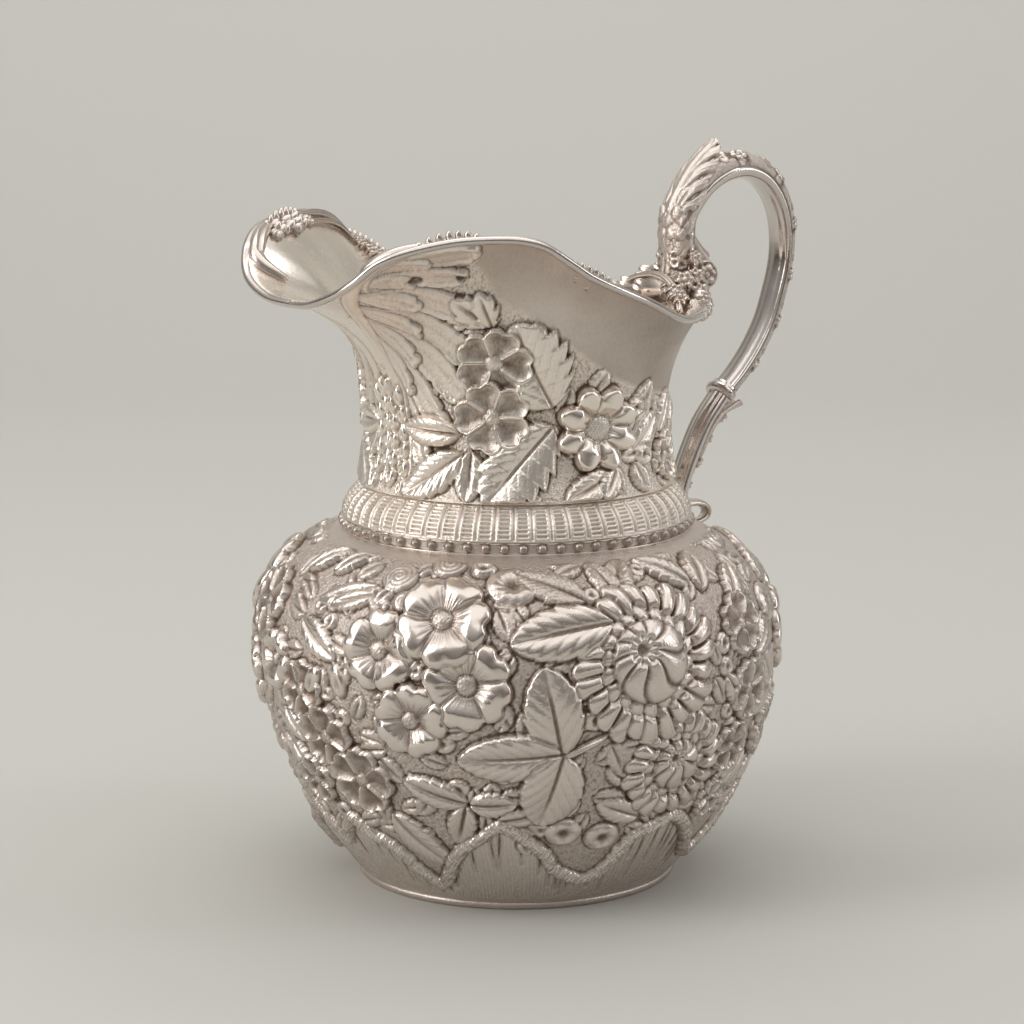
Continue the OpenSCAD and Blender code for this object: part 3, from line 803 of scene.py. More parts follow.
def rope(rel, path, half, height, granule=0.0, polish=0.5, dark=0.15):
    """Raised cord along a path of (turn angle in radians, arc) points."""
    dist = np.full(rel.h.shape, 99.0)
    for a, b in zip(path[:-1], path[1:]):
        mid = 0.5 * (a + b)
        got = rel.window(mid[0], mid[1], half * 1.6 + abs(b[1] - a[1]) + 3)
        if got is None:
            continue
        ix, x, y = got
        r = rel.radius[ix]
        ax, ay, bx, by = (a[0] - mid[0]) * r, a[1] - mid[1], (b[0] - mid[0]) * r, b[1] - mid[1]
        t = np.clip(((x - ax) * (bx - ax) + (y - ay) * (by - ay))
                    / ((bx - ax) ** 2 + (by - ay) ** 2 + 1e-9), 0, 1)
        dist[ix] = np.minimum(dist[ix], np.hypot(x - ax - t * (bx - ax), y - ay - t * (by - ay)))
    ix = np.nonzero(dist.min(1) < half * 2)[0]
    ix = np.ix_(ix, np.arange(rel.h.shape[1]))
    d = half - dist[ix]
    h = height * np.sqrt(np.clip(1 - 0.85 * (dist[ix] / half) ** 2, 0, 1))
    if granule:
        x = rel.around[None, :] * rel.radius.mean()
        y = rel.along[ix]
        g = np.cos(TURN * x / granule + 2 * np.sin(y)) * np.cos(TURN * y / granule + np.sin(x * 0.9))
        lump = np.sin(x * 1.1 + np.sin(y * 0.9)) * np.sin(y * 1.3 + 1.0)
        h = h + 0.34 * g + 0.25 * lump
        rel.put(ix, d + 0.35 * lump, h, polish + 0.2 * g, dark + 0.30 * smooth(0.1, -0.8, g), line=0.3,
                cut=0.15)
    else:
        rel.put(ix, d, h, polish, dark)


def scatter(sheet, a0, a1, z0, z1, step, seed):
    """Small leaves over the ground, which fill the gaps between the flowers."""
    rng = np.random.default_rng(seed)
    for z in np.arange(z0, z1, step):
        width = math.degrees(step / sheet.radius_at(0, z))
        for a in np.arange(a0, a1, width):
            at = (a + rng.uniform(-0.35, 0.35) * width, z + rng.uniform(-0.35, 0.35) * step)
            turn = rng.uniform(0, 360)
            pick = rng.uniform()
            if pick < 0.66:
                size = rng.uniform(7.0, 10.5)
                sheet.stamp(at, turn, leaf(size, size * 0.62, height=0.8, lift=0.2, gloss=0.62,
                                           teeth=5, vein=2.2), size + 2, 0.38)
            elif pick < 0.78:
                sheet.stamp(at, turn, bud_ring(rng.uniform(2.4, 3.4), height=0.7), 5, 0.3)


def build_body():
    theta = columns(740, 400)
    count = 350
    z = np.interp(np.linspace(0, BODY_ARC[-1], count), BODY_ARC, BODY_Z)
    r = body_radius(z)
    arc = np.linspace(0, BODY_ARC[-1], count)
    along = np.repeat(arc[:, None], len(theta), 1)
    radius = np.repeat(r[:, None], len(theta), 1)
    rel = Relief(theta, along, radius, TURN)
    zz = z[:, None] + 0 * along
    x = theta[None, :] * BODY_R

    def put_in(mirrored, keep=None):
        return Sheet(rel, lambda a, h: arc_of(h), lambda a, h: float(body_radius(h)), mirrored, keep)

    near, far = put_in(False), put_in(True, lambda at: at[0] > 26)
    scatter(near, -180, 180, 28, 106.5, 7.0, 5)

    # plain skirt below the vine, with hatching cut into it
    path = chain(VINE)
    whole = np.concatenate([path * (-1, 1), path])
    whole = whole[np.argsort(whole[:, 0])]
    edge = np.interp(np.degrees((theta + math.pi) % TURN - math.pi), whole[:, 0], whole[:, 1])
    below = smooth(0.4, -0.4, zz - edge[None, :])
    stroke = np.sin(TURN * x / 1.7 + 2.0 * np.sin(zz * 0.16 + x * 0.05))
    rel.h = rel.h * (1 - below) + below * 0.10 * stroke
    rel.polish = rel.polish * (1 - below) + below * (0.88 + 0.06 * stroke)
    # the skirt's tarnish is set below zero as painted light, to lift the skirt out of the shade it sits in;
    # relief_attributes clips it to zero, so the skirt carries no oxide
    rel.dark = rel.dark * (1 - below) + below * (0.06 * smooth(0, -1, stroke) - 0.25)
    rng = np.random.default_rng(21)
    for a in np.arange(-180, 180, 1.9):
        a = a + rng.uniform(-0.6, 0.6)
        top = float(np.interp(a, whole[:, 0], whole[:, 1]))
        length = rng.uniform(0.25, 0.7) * (top - 5)
        if length > 1.6 and rng.uniform() < 0.5:
            spot = (math.radians(a), arc_of(top - 2.6 - rng.uniform(0.3, 0.6) * length))
            rel.stamp(spot, 90 + rng.uniform(-5, 5), dash(length, rng.uniform(0.35, 0.6)), length, 0.2)

    body_back(near)
    body_back(put_in(True))
    body_motifs(far)
    body_front(near)
    body_motifs(near)
    for sign in (1, -1):
        line = np.stack([np.radians(path[:, 0]) * sign, np.interp(path[:, 1], BODY_Z, BODY_ARC)], 1)
        rope(rel, line, 2.2, 2.1, granule=1.7, polish=0.85, dark=0.0)

    mat_ground(rel, 3)

    # plain strip under the beads and plain rim above the base
    strip = np.maximum(smooth(SEAM_Z - 2.6, SEAM_Z - 1.6, zz), smooth(4.2, 3.4, zz))
    rel.h *= 1 - strip
    rel.polish = rel.polish * (1 - strip) + 0.25 * strip
    rel.dark *= 1 - strip

    flat = round_points(theta[None, :], r[:, None], z[:, None])
    outer = flat + normals(flat) * rel.h[:, :, None]
    inner_z = np.linspace(SEAM_Z, FOOT_H, 30)
    inner = round_points(theta[None, :], body_radius(inner_z)[:, None] - WALL * 1.1, inner_z[:, None])
    shell = np.concatenate([outer, inner])
    attributes = relief_attributes(rel, 30)
    piece = make_mesh("body_sheet", shell, grid_faces(len(shell), len(theta), True, True), attributes)
    finish(piece, "lower_body", chased)


# ------------------------------------------------------------------ neck


def neck_motifs(sheet):
    """The garland on one side of the neck: turn angle from the spout, distance up the sheet."""
    # leaves
    sheet.leaf((92, 8), (74, 0.5), 8.5)
    sheet.leaf((94, 9), (88, 0.5), 7)
    sheet.leaf((46, 54.5), (37, 64), 9, teeth=3, tooth=0.35)
    sheet.leaf((47, 54), (44, 66), 7, teeth=3, tooth=0.3)
    sheet.leaf((38, 15.5), (37, 0.5), 9)
    sheet.leaf((34, 14.5), (13, 0.5), 11)
    sheet.leaf((33, 20.5), (13, 21.5), 9, teeth=0, height=1.9)
    sheet.leaf((68, 29), (55, 54), 22, bend=-1.5, height=2.2, tooth=0.24, vein=4.5)
    sheet.leaf((68, 23), (45, -0.5), 19, bend=1.5, height=2.2, tooth=0.24, vein=4.5)
    sheet.leaf((101, 18), (109, 35), 8)
    sheet.leaf((104, 14), (116, 24), 9)
    sheet.leaf((104, 10), (109, 1), 7)
    sheet.leaf((118, 6), (128, 15), 8)
    sheet.leaf((120, 18), (128, 30), 8)
    sheet.leaf((136, 16), (150, 24), 10)
    sheet.leaf((136, 12), (146, 2), 9)
    sheet.leaf((166, 12), (154, 4), 9)
    sheet.leaf((166, 16), (158, 27), 9)
    sheet.stamp((104, 27), 0, bud_ring(3.2), 4)
    sheet.stamp((110, 12), 0, bud_ring(3.6), 5)
    sheet.stamp((152, 14), 0, bud_ring(4.6), 6)
    # flowers
    sheet.flower((128, 10), 8, 5, 20, "cup")
    sheet.flower((178, 16), 10, 5, 90, "heart")
    sheet.flower((47, 42.5), 11.5, 5, 142, "cup")
    sheet.flower((46, 26), 11.2, 5, 108, "cup", lift=0.6)
    sheet.flower((86, 22), 13.6, 8, 22, "plain", lift=0.9, centre=0.30)


def neck_plume(sheet):
    """Feathered border beside the spout, in low relief."""
    # (root, tip, width, bend) of each lobe, from the lip down, each over the roots of the one above
    for root, tip, width, bend in (((24, 86), (45, 80), 11, 3.5), ((21, 82), (37, 68), 10, 5),
                                   ((17, 77), (34, 53), 12, 6), ((13, 70), (29.5, 39), 12, 6),
                                   ((9.5, 64), (25, 27), 11, 6), ((7, 54), (18, 17), 9, 5),
                                   ((5, 42), (12, 9), 8, 4)):
        sheet.feather(root, tip, width, bend)
        middle = (root[0] + 0.52 * (tip[0] - root[0]), root[1] + 0.62 * (tip[1] - root[1]))
        sheet.feather(root, middle, 0.7 * width, -0.3 * bend)
    for at, size in (((29, 74.5), 2.1), ((40, 72.5), 1.6), ((38, 65), 1.4)):
        sheet.stamp(at, 20, pit(size), size + 1, 0.2)
    stem = chain([(26, 92), (20, 84), (13, 70), (8, 56), (5, 44), (6, 32), (9, 18), (10, 4)])
    stem = np.stack([np.radians(stem[:, 0]) * (-1 if sheet.mirrored else 1), stem[:, 1]], 1)
    rope(sheet.rel, stem, 2.0, 0.7, polish=0.66, dark=0.0)
    # strings of buds at the foot of the spout
    for k in range(6):
        sheet.stamp((9 - 0.5 * k, 3 + 5.5 * k), 84, oval_bud(6.2, 3.4), 5, 0.3)
        sheet.stamp((-2, 5.5 + 5.5 * k), 96, oval_bud(6.2, 3.4), 5, 0.3)


def build_neck():
    theta = columns(660, 360)
    count = 240
    t = np.linspace(0, 1, count)[:, None]
    r, z = neck_profile(theta[None, :], t)[:2]
    flat = round_points(theta[None, :], r, z)
    step = np.linalg.norm(np.diff(flat, axis=0), axis=2)
    along = np.concatenate([np.zeros((1, len(theta))), np.cumsum(step, 0)])
    rel = Relief(theta, along, r, TURN)
    top = along[-1][None, :] - along
    a = fold_turn(theta)[None, :] + 0 * along

    def put_in(mirrored, keep=None):
        return Sheet(rel, lambda a, s: s, lambda a, s: 50.0 + 0.24 * s, mirrored, keep)

    # the ground, the plain panel above the flowers and the plain tongue under the spout
    line = np.interp(a, [0, 38, 44, 50, 60, 68, 80, 93, 110, 140, 180],
                     [200, 200, 84, 66, 59, 53, 45, 38, 33, 30, 29])
    panel = smooth(-3.5 - 9 * smooth(62, 46, a), -0.5, along - line)
    tongue = smooth(-1.2, 1.2, np.interp(along, [38, 42, 56, 83, 89, 95], [0, 3, 8, 20, 25, 40]) - a)
    tongue = tongue * smooth(36, 44, along)
    scatter(put_in(False, lambda at: at[1] < np.interp(abs((at[0] + 180) % 360 - 180),
                                                       [40, 50, 93, 180], [62, 50, 28, 23])),
            -180, 180, 4, 70, 9.5, 11)
    plain = np.maximum(panel, tongue)
    rel.h = rel.h * (1 - plain)
    rel.polish = rel.polish * (1 - plain) + 0.80 * plain
    # the plain panel's darkness is painted shade, standing in for the darker surroundings its polish
    # reflects; it grows darker further round from the spout and rides in the tarnish attribute with the
    # oxide
    rel.dark = rel.dark * (1 - plain) + panel * (1 - tongue) * (0.68 + 0.27 * smooth(60, 110, a))

    for mirrored in (True, False):
        neck_plume(put_in(mirrored))
        neck_motifs(put_in(mirrored))

    rel.dark = 0.85 * np.clip(rel.dark, 0, 1) ** 1.6
    mat_ground(rel, 4)
    foot = 1.1 * np.clip(1 - along / 8, 0, 1) ** 1.6
    lip = smooth(2.2, 1.2, top) + smooth(0.9, 0.2, along)
    rel.h = rel.h * (1 - np.clip(lip, 0, 1)) + foot
    rel.polish = np.maximum(rel.polish, 0.6 * smooth(2.2, 1.2, top))
    outer = flat + normals(flat) * rel.h[:, :, None]
    rows = 56
    ti = np.linspace(1, 0, rows)[:, None]
    ri, zi, ni, mi = neck_profile(theta[None, :], ti)
    inner = round_points(theta[None, :], ri - WALL * ni, zi - WALL * mi)
    shell = np.concatenate([outer, inner])
    attributes = relief_attributes(rel, rows)
    attributes["polish"][-rows:] = 0.9
    piece = make_mesh("neck_sheet", shell, grid_faces(len(shell), len(theta), True, True), attributes)
    # the neck takes the brighter silver copy, whose lighter tone is painted light
    finish(piece, "neck_and_spout", chased_painted_lit)


# ------------------------------------------------------------------ collar and beads

BEADS = 60


def ring_shell(name, node, material, theta, r, z, rel, depth):
    flat = round_points(theta[None, :], r[:, None], z[:, None])
    outer = flat + normals(flat) * rel.h[:, :, None]
    inner = round_points(theta[None, :], (r - depth)[::-1, None], z[::-1, None])
    attributes = relief_attributes(rel, len(r), span=2)
    piece = make_mesh(name, np.concatenate([outer, inner]),
                      grid_faces(2 * len(r), len(theta), True, True), attributes)
    finish(piece, node, material)


def build_collar():
    per = 22
    theta = np.linspace(0, TURN, BEADS * per, endpoint=False)
    control = np.array([(0, 53.1, RING_TOP), (1, 53.4, 113.1), (4.4, 52.6, 116.4), (8.2, 50.6, 119.6),
                        (11.2, 48.4, 121.7), (12.6, NECK_R, NECK_Z)])
    s = np.linspace(0, 12.6, 64)
    r, z = curve(control, s, 1), curve(control, s, 2)
    along = np.repeat(s[:, None], len(theta), 1)
    rel = Relief(theta, along, np.repeat(r[:, None], len(theta), 1), TURN)
    ph = (np.arange(len(theta)) % per) / per
    wobble = 0.015 * np.sin(np.arange(len(theta)) / per * 2.7)
    q = np.abs(ph + wobble - 0.5) * 2
    wire = np.exp(-(((q - 0.70) / 0.11) ** 2))[None, :]
    gap = smooth(0.86, 0.96, q)[None, :]
    slot = smooth(0.60, 0.50, q)[None, :]
    band = smooth(0.7, 1.2, along) * smooth(12.2, 11.4, along)
    column = np.floor(np.arange(len(theta)) / per)
    bar = 0.5 + 0.5 * np.cos(TURN * (along / 1.35 + 0.16 * np.sin(column * 1.9)[None, :]))
    bar = bar ** 0.7
    rel.h = band * (0.30 * wire - 0.25 * gap + slot * (0.62 * bar - 0.42))
    rel.polish = 0.30 + band * (0.45 * wire + 0.4 * slot * bar)
    rel.dark = band * (0.3 * gap + 0.4 * slot * (1 - bar) ** 1.5) + 0.04
    rel.polish = rel.polish * (1 - 0.2 * band)
    edge = np.exp(-(((along - 0.55) / 0.35) ** 2))
    rel.h = rel.h + 0.35 * edge - 0.2 * smooth(6, 11, along)
    rel.polish = np.maximum(rel.polish, 0.7 * edge)
    # the collar takes the brighter silver copy, whose lighter tone is painted light
    ring_shell("collar_sheet", "collar_band", chased_painted_lit, theta, r, z, rel, WALL)


def build_beads():
    per = 22
    theta = np.linspace(0, TURN, BEADS * per, endpoint=False)
    count = 46
    z = np.linspace(SEAM_Z, RING_TOP, count)
    r = np.full(count, SEAM_R - 0.5)
    along = np.repeat(z[:, None], len(theta), 1)
    rel = Relief(theta, along, np.repeat(r[:, None], len(theta), 1), TURN)
    ph = (np.arange(len(theta)) % per) / per - 0.5
    pitch = TURN * SEAM_R / BEADS
    x = (ph * pitch)[None, :]
    y = along - (SEAM_Z + 2.05)
    rho = np.hypot(x, y * 1.05)
    bead_r = 1.42
    bead = np.sqrt(np.clip(bead_r**2 - rho**2, 0, None))
    foot = 0.75 * smooth(SEAM_Z + 0.75, SEAM_Z + 0.35, along)
    # the upper edge is cut into scallops that follow the beads
    scallop = SEAM_Z + 3.25 + 0.22 * np.cos(TURN * ph)[None, :]
    brow = 0.8 * smooth(-0.12, 0.2, along - scallop)
    rel.h = np.maximum(np.maximum(bead * 1.05, foot), brow) - 0.3 * (rho > bead_r)
    inside = smooth(bead_r + 0.05, bead_r - 0.2, rho)
    rel.polish = 0.4 + 0.6 * np.maximum(inside, smooth(0.1, 0.5, np.maximum(foot, brow)))
    rel.dark = np.clip(0.15 * (1 - inside) * (1 - smooth(0.1, 0.5, np.maximum(foot, brow)))
                       + 1.0 * inside, 0, 1)
    ring_shell("bead_border", "bead_row", chased, theta, r, z, rel, 1.6)


# ------------------------------------------------------------------ swept pieces


def sweep(centres, side, up, section):
    """Rings of points: section[j] is a list of (side, up) offsets at centre j."""
    return (centres[:, None, :] + side[:, None, :] * section[:, :, :1]
            + up[:, None, :] * section[:, :, 1:])


def path_frames(points, hint):
    """Tangent, side and up of a path; hint says which way up leans."""
    tangent = np.gradient(points, axis=0)
    tangent /= np.linalg.norm(tangent, axis=1, keepdims=True)
    side = np.cross(hint, tangent)
    side /= np.maximum(np.linalg.norm(side, axis=1, keepdims=True), 1e-9)
    return tangent, side, np.cross(tangent, side)


class Build:
    """Collects closed parts into one mesh with polish, tarnish and cavity values."""

    def __init__(self):
        self.points, self.faces, self.values, self.count = [], [], [], 0

    def add(self, grid, faces, polish=0.9, tarnish=0.0, cavity=0.0, both=False):
        flat = grid.reshape(-1, 3)
        rows = np.stack([np.broadcast_to(v, grid.shape[:-1]).ravel() for v in
                         (polish, tarnish, cavity)], 1)
        for sign in ((1, -1) if both else (1,)):
            self.points.append(flat * (1, sign, 1))
            turned = [f if sign > 0 else f[::-1] for f in faces] if both else faces
            self.faces.extend([tuple(int(i) + self.count for i in f) for f in turned])
            self.values.append(rows)
            self.count += len(flat)

    def rings(self, grid, loop=False, **values):
        """Tube of rings, capped unless its path closes."""
        rows, cols = grid.shape[:2]
        faces = [tuple(f) for f in grid_faces(rows, cols, loop, True)]
        if not loop:
            faces += [tuple(range(cols - 1, -1, -1)), tuple(range((rows - 1) * cols, rows * cols))]
        self.add(grid, faces, **values)

    def done(self, name, node, material):
        v = np.concatenate(self.values)
        piece = make_mesh(name, np.concatenate(self.points), self.faces,
                          {"polish": v[:, 0], "tarnish": v[:, 1], "cavity": v[:, 2]})
        finish(piece, node, material)
        return piece


def circle(n, start=0.0):
    a = np.linspace(0, TURN, n, endpoint=False) + start
    return np.cos(a), np.sin(a)


def build_lip_wire():
    theta = np.linspace(0, TURN, 720, endpoint=False)
    a = fold_turn(theta)
    centre = round_points(theta, curve(RIM_ROWS, a, 1), curve(RIM_ROWS, a, 2))
    closed = np.concatenate([centre[-2:], centre, centre[:2]])
    _, side, up = path_frames(closed, np.array([0, 0, 1.0]))
    side, up = side[2:-2], up[2:-2]
    c, s = circle(18)
    section = np.stack([LIP_WIRE_R * 1.05 * c, LIP_WIRE_R * 0.95 * s], 1)[None].repeat(720, 0)
    build = Build()
    build.rings(sweep(centre, side, up, section), loop=True, polish=0.85)
    build.done("lip_wire_looks", "lip_wire", polished)


def build_base():
    """Foot wire and the disc that closes the bottom."""
    theta = np.linspace(0, TURN, 360, endpoint=False)
    profile = [(BASE_R - 2.2, 0.15), (BASE_R - 1.9, 0), (BASE_R - 0.9, 0), (BASE_R - 0.3, 0.25),
               (BASE_R, 0.75), (BASE_R + 0.05, 1.5), (BASE_R, FOOT_H), (BASE_R - 2.2, FOOT_H)]
    grid = np.stack([round_points(theta, np.full(360, r), np.full(360, z)) for r, z in profile])
    build = Build()
    build.add(grid, [tuple(f) for f in grid_faces(len(profile), 360, True, True)], polish=0.7)
    build.done("foot_wire_looks", "foot_wire", satin)
    rows = [(0.01, 1.35), (12, 1.33), (24, 1.25), (36, 1.15), (43, 1.05), (BASE_R - 2.25, 1.0),
            (BASE_R - 2.25, FOOT_H), (30, FOOT_H), (0.01, FOOT_H)]
    grid = np.stack([round_points(theta, np.full(360, r), np.full(360, z)) for r, z in rows])
    build = Build()
    build.rings(grid, polish=0.5)
    build.done("base_disc_looks", "base_disc", satin)


# ------------------------------------------------------------------ scene


def soft_light(name, where, aim, size, power, colour=(1, 1, 1)):
    data = bpy.data.lights.new(name, "AREA")
    data.shape = "RECTANGLE"
    data.size, data.size_y = size
    data.energy = power
    data.color = colour
    lamp = bpy.data.objects.new(name, data)
    bpy.context.scene.collection.objects.link(lamp)
    lamp.location = where
    lamp.rotation_euler = (Vector(aim) - Vector(where)).to_track_quat("-Z", "Y").to_euler()
    return lamp


def build_scene():
    turn = math.radians(-35.1)
    right = np.array([math.cos(turn), math.sin(turn), 0])
    ahead = np.array([-math.sin(turn), math.cos(turn), 0])
    camera_data = bpy.data.cameras.new("camera")
    camera_data.lens, camera_data.sensor_width = 116.2, 36
    camera_data.clip_end = 20
    camera = bpy.data.objects.new("camera", camera_data)
    bpy.context.scene.collection.objects.link(camera)
    camera.location = -ahead * 1.0 - right * 0.00136 + np.array([0, 0, 0.292])
    camera.rotation_euler = (math.radians(79.8), 0, turn)
    bpy.context.scene.camera = camera

    # a sweep of pale paper: floor, curve and wall, painted darker on the floor and lighter up the wall
    u = np.linspace(-4.5, 4.5, 25)
    depth = np.concatenate([np.linspace(-6.0, 1.0, 14), 1.0 + 0.9 * np.sin(np.linspace(0, 90, 16)
                            * math.pi / 180)[1:], np.full(6, 1.9)])
    height = np.concatenate([np.zeros(14), 0.9 * (1 - np.cos(np.linspace(0, 90, 16)
                             * math.pi / 180))[1:], np.linspace(1.1, 2.4, 6)])
    grid = (right[None, None, :] * u[None, :, None] + ahead[None, None, :] * depth[:, None, None]
            + np.array([0, 0, 1])[None, None, :] * height[:, None, None])
    paper = make_mesh("backdrop", grid / MM, grid_faces(len(depth), len(u), False, False))
    mat = bpy.data.materials.new("paper")
    mat.use_nodes = True
    shader = mat.node_tree.nodes["Principled BSDF"]
    shader.inputs["Roughness"].default_value = 0.9
    # painted light and shade: the paper's colour runs from darker on the floor to lighter 0.9 m up the wall,
    # standing in for how the studio light falls
    tone = mat.node_tree.nodes.new("ShaderNodeMix")
    tone.data_type = "RGBA"
    tone.inputs["A"].default_value = (0.53, 0.525, 0.495, 1)
    tone.inputs["B"].default_value = (0.80, 0.79, 0.74, 1)
    place = mat.node_tree.nodes.new("ShaderNodeTexCoord").outputs["Object"]
    level = mat.node_tree.nodes.new("ShaderNodeSeparateXYZ")
    mat.node_tree.links.new(place, level.inputs[0])
    paper_shade_ramp = mat.node_tree.nodes.new("ShaderNodeMapRange")
    paper_shade_ramp.inputs["From Max"].default_value = 0.9
    mat.node_tree.links.new(level.outputs["Z"], paper_shade_ramp.inputs["Value"])
    mat.node_tree.links.new(paper_shade_ramp.outputs["Result"], tone.inputs["Factor"])
    mat.node_tree.links.new(tone.outputs["Result"], shader.inputs["Base Color"])
    paper.data.materials.append(mat)

    world = bpy.data.worlds.new("studio")
    world.use_nodes = True
    bpy.context.scene.world = world
    nodes, links = world.node_tree.nodes, world.node_tree.links
    where = nodes.new("ShaderNodeTexCoord").outputs["Generated"]
    split = nodes.new("ShaderNodeSeparateXYZ")
    links.new(where, split.inputs[0])
    sky = nodes.new("ShaderNodeValToRGB")
    sky.color_ramp.elements[0].position, sky.color_ramp.elements[0].color = 0.30, (0.22, 0.19, 0.17, 1)
    sky.color_ramp.elements[1].position, sky.color_ramp.elements[1].color = 0.85, (1.0, 0.99, 0.96, 1)
    middle = sky.color_ramp.elements.new(0.52)
    middle.color = (0.15, 0.125, 0.11, 1)
    shift = nodes.new("ShaderNodeMapRange")
    shift.inputs["From Min"].default_value, shift.inputs["From Max"].default_value = -1, 1
    links.new(split.outputs["Z"], shift.inputs["Value"])
    links.new(shift.outputs["Result"], sky.inputs["Fac"])
    links.new(sky.outputs["Color"], nodes["Background"].inputs["Color"])
    nodes["Background"].inputs["Strength"].default_value = 0.64
    beyond = nodes.new("ShaderNodeBackground")
    beyond.inputs["Color"].default_value = (0.55, 0.54, 0.50, 1)
    seen = nodes.new("ShaderNodeMixShader")
    links.new(nodes.new("ShaderNodeLightPath").outputs["Is Camera Ray"], seen.inputs[0])
    links.new(nodes["Background"].outputs[0], seen.inputs[1])
    links.new(beyond.outputs[0], seen.inputs[2])
    links.new(seen.outputs[0], nodes["World Output"].inputs["Surface"])

    def at(r, a, z):
        return tuple(right * r + ahead * a + np.array([0, 0, z]))

    aim = (0, 0, 0.1)
    soft_light("top_box", at(-0.1, -0.1, 1.5), aim, (2.4, 2.4), 11.5, (1, 0.985, 0.96))
    soft_light("left_box", at(-1.1, -0.45, 0.6), aim, (0.5, 1.0), 6.5, (1, 0.985, 0.96))
    soft_light("right_box", at(1.15, -0.1, 0.5), aim, (0.3, 0.9), 2.0, (0.97, 0.97, 1.0))
    soft_light("back_wash", at(0.0, 0.5, 1.7), at(0, 1.85, 0.5), (1.8, 0.6), 8, (1, 0.99, 0.97))
    bpy.context.scene.view_settings.view_transform = "Standard"


# ------------------------------------------------------------------ small cast ornaments


class Patch(Relief):
    """Relief over any grid of points whose flat coordinates in mm are known."""

    def __init__(self, x, y):
        self.x, self.y = x, y
        self.h, self.polish, self.dark = np.zeros(x.shape), np.zeros(x.shape), np.zeros(x.shape)

    def window(self, a0, s0, reach):
        return (slice(None), slice(None)), self.x - a0, self.y - s0


def unit(v):
    v = np.asarray(v, float)
    return v / np.linalg.norm(v)


def medallion(build, at, normal, up, radius, chase, outline=None, dome=0.0, thick=0.8, both=True,
              spokes=72, rings=18, sink=0.9):
    """Small ornament with a chased face, standing on a surface."""
    n = unit(normal)
    u = unit(np.cross(up, n))
    v = np.cross(n, u)
    a = np.linspace(0, TURN, spokes, endpoint=False)[::-1]
    edge = radius * (outline(a) if outline else np.ones(spokes))
    rho = np.linspace(0.01, 1, rings)[:, None]
    x, y = rho * edge * np.cos(a), rho * edge * np.sin(a)
    patch = Patch(x, y)
    chase(patch)
    h = patch.h + thick * (1 - rho**5) + dome * (1 - rho**2)
    at = np.asarray(at, float)
    face = at + x[..., None] * u + y[..., None] * v + h[..., None] * n
    back = at + x[[-1, 0], :, None] * u + y[[-1, 0], :, None] * v - sink * n
    grid = np.concatenate([face, back])
    fill = np.zeros((2, spokes))
    span = patch.h - blur(patch.h, 2, 3)
    build.rings(grid, polish=np.concatenate([patch.polish, fill + 0.6]),
                tarnish=np.concatenate([patch.dark, fill + 0.3]),
                cavity=np.concatenate([span, fill]), both=both)


def bloom(count=6, kind="plain", lift=0.2, centre=0.26, turn=0.0, height=1.0):
    """Chases a flower on a medallion of the radius it is given."""
    def chase(radius):
        def put(patch):
            flower(patch, (0, 0), radius * 0.98, count, turn, kind, lift=lift, centre=centre)
            patch.h *= height * min(1.0, 0.12 + radius / 9)
        return put
    return chase


def scalloped(count, depth, turn=0.0):
    def outline(a):
        return 1 - depth * (0.5 - 0.5 * np.cos(count * (a - math.radians(turn)))) ** 1.5
    return outline


def volute_face(patch):
    """Low flower inside a raised ring."""
    flower(patch, (0, 0), 3.7, 6, 12, "plain", lift=0.1, centre=0.28)
    patch.h *= 0.45
    ring = np.exp(-(((np.hypot(patch.x, patch.y) - 4.35) / 0.42) ** 2))
    patch.h += 0.9 * ring
    patch.polish = np.maximum(patch.polish * 0.7, 0.7 * ring)


def flower_button(build, at, normal, up, radius, count=6, turn=0.0, both=True, kind="plain", **more):
    medallion(build, at, normal, up, radius, bloom(count, kind, turn=turn, height=0.75)(radius),
              outline=scalloped(count, 0.16, turn), both=both, **more)


def blade(build, base, tip, up, width, thick, both=True, rows=14, bend=0.25):
    """Small pointed leaf from base to tip, arched away from the surface."""
    base, tip, up = np.asarray(base, float), np.asarray(tip, float), unit(up)
    t = np.linspace(0, 1, rows)
    length = np.linalg.norm(tip - base)
    line = base + (tip - base) * t[:, None] + up * (bend * length * np.sin(math.pi * t * 0.8))[:, None]
    _, side, lift = path_frames(line, up)
    w = 0.5 * width * np.clip(np.sin(math.pi * (0.12 + 0.86 * t)) ** 0.7, 0.05, 1)
    c, s = circle(14)
    ridge = 1 + 0.55 * np.exp(-((c / 0.28) ** 2)) * (s > 0)
    section = np.stack([w[:, None] * c, 0.5 * thick * (w[:, None] / w.max()) ** 0.6 * s * ridge], -1)
    build.rings(sweep(line, side, lift, section), both=both, polish=0.85,
                tarnish=0.35 * (np.abs(c) > 0.8) + 0 * w[:, None])


def c_scroll(build, line, up, width, height, taper=0.45, both=True):
    """Half-round strip with a channel along it, thinner at both ends."""
    t = np.linspace(0, 1, len(line))
    size = taper + (1 - taper) * np.sin(math.pi * np.clip(t, 0.0, 1)) ** 0.6
    _, side, lift = path_frames(line, up)
    c, s = circle(26)
    channel = 1 - 0.42 * np.exp(-((c / 0.26) ** 2)) * (s > 0)
    section = np.stack([0.5 * width * size[:, None] * c,
                        height * size[:, None] * (s * channel + 0.15)], -1)
    dark = 0.75 * np.exp(-((c / 0.22) ** 2)) * (s > 0) + 0.35 * (np.abs(c) > 0.93)
    build.rings(sweep(line, side, lift, section), both=both,
                polish=0.95 - 0.3 * (dark > 0.4) + 0 * t[:, None],
                tarnish=dark + 0 * t[:, None])


def rim_line(deg, t, depth, rise=None):
    point, inward = neck_point(deg, t, depth)
    if rise is not None:
        point = point + np.stack([0 * rise, 0 * rise, rise], -1)
    return point, inward


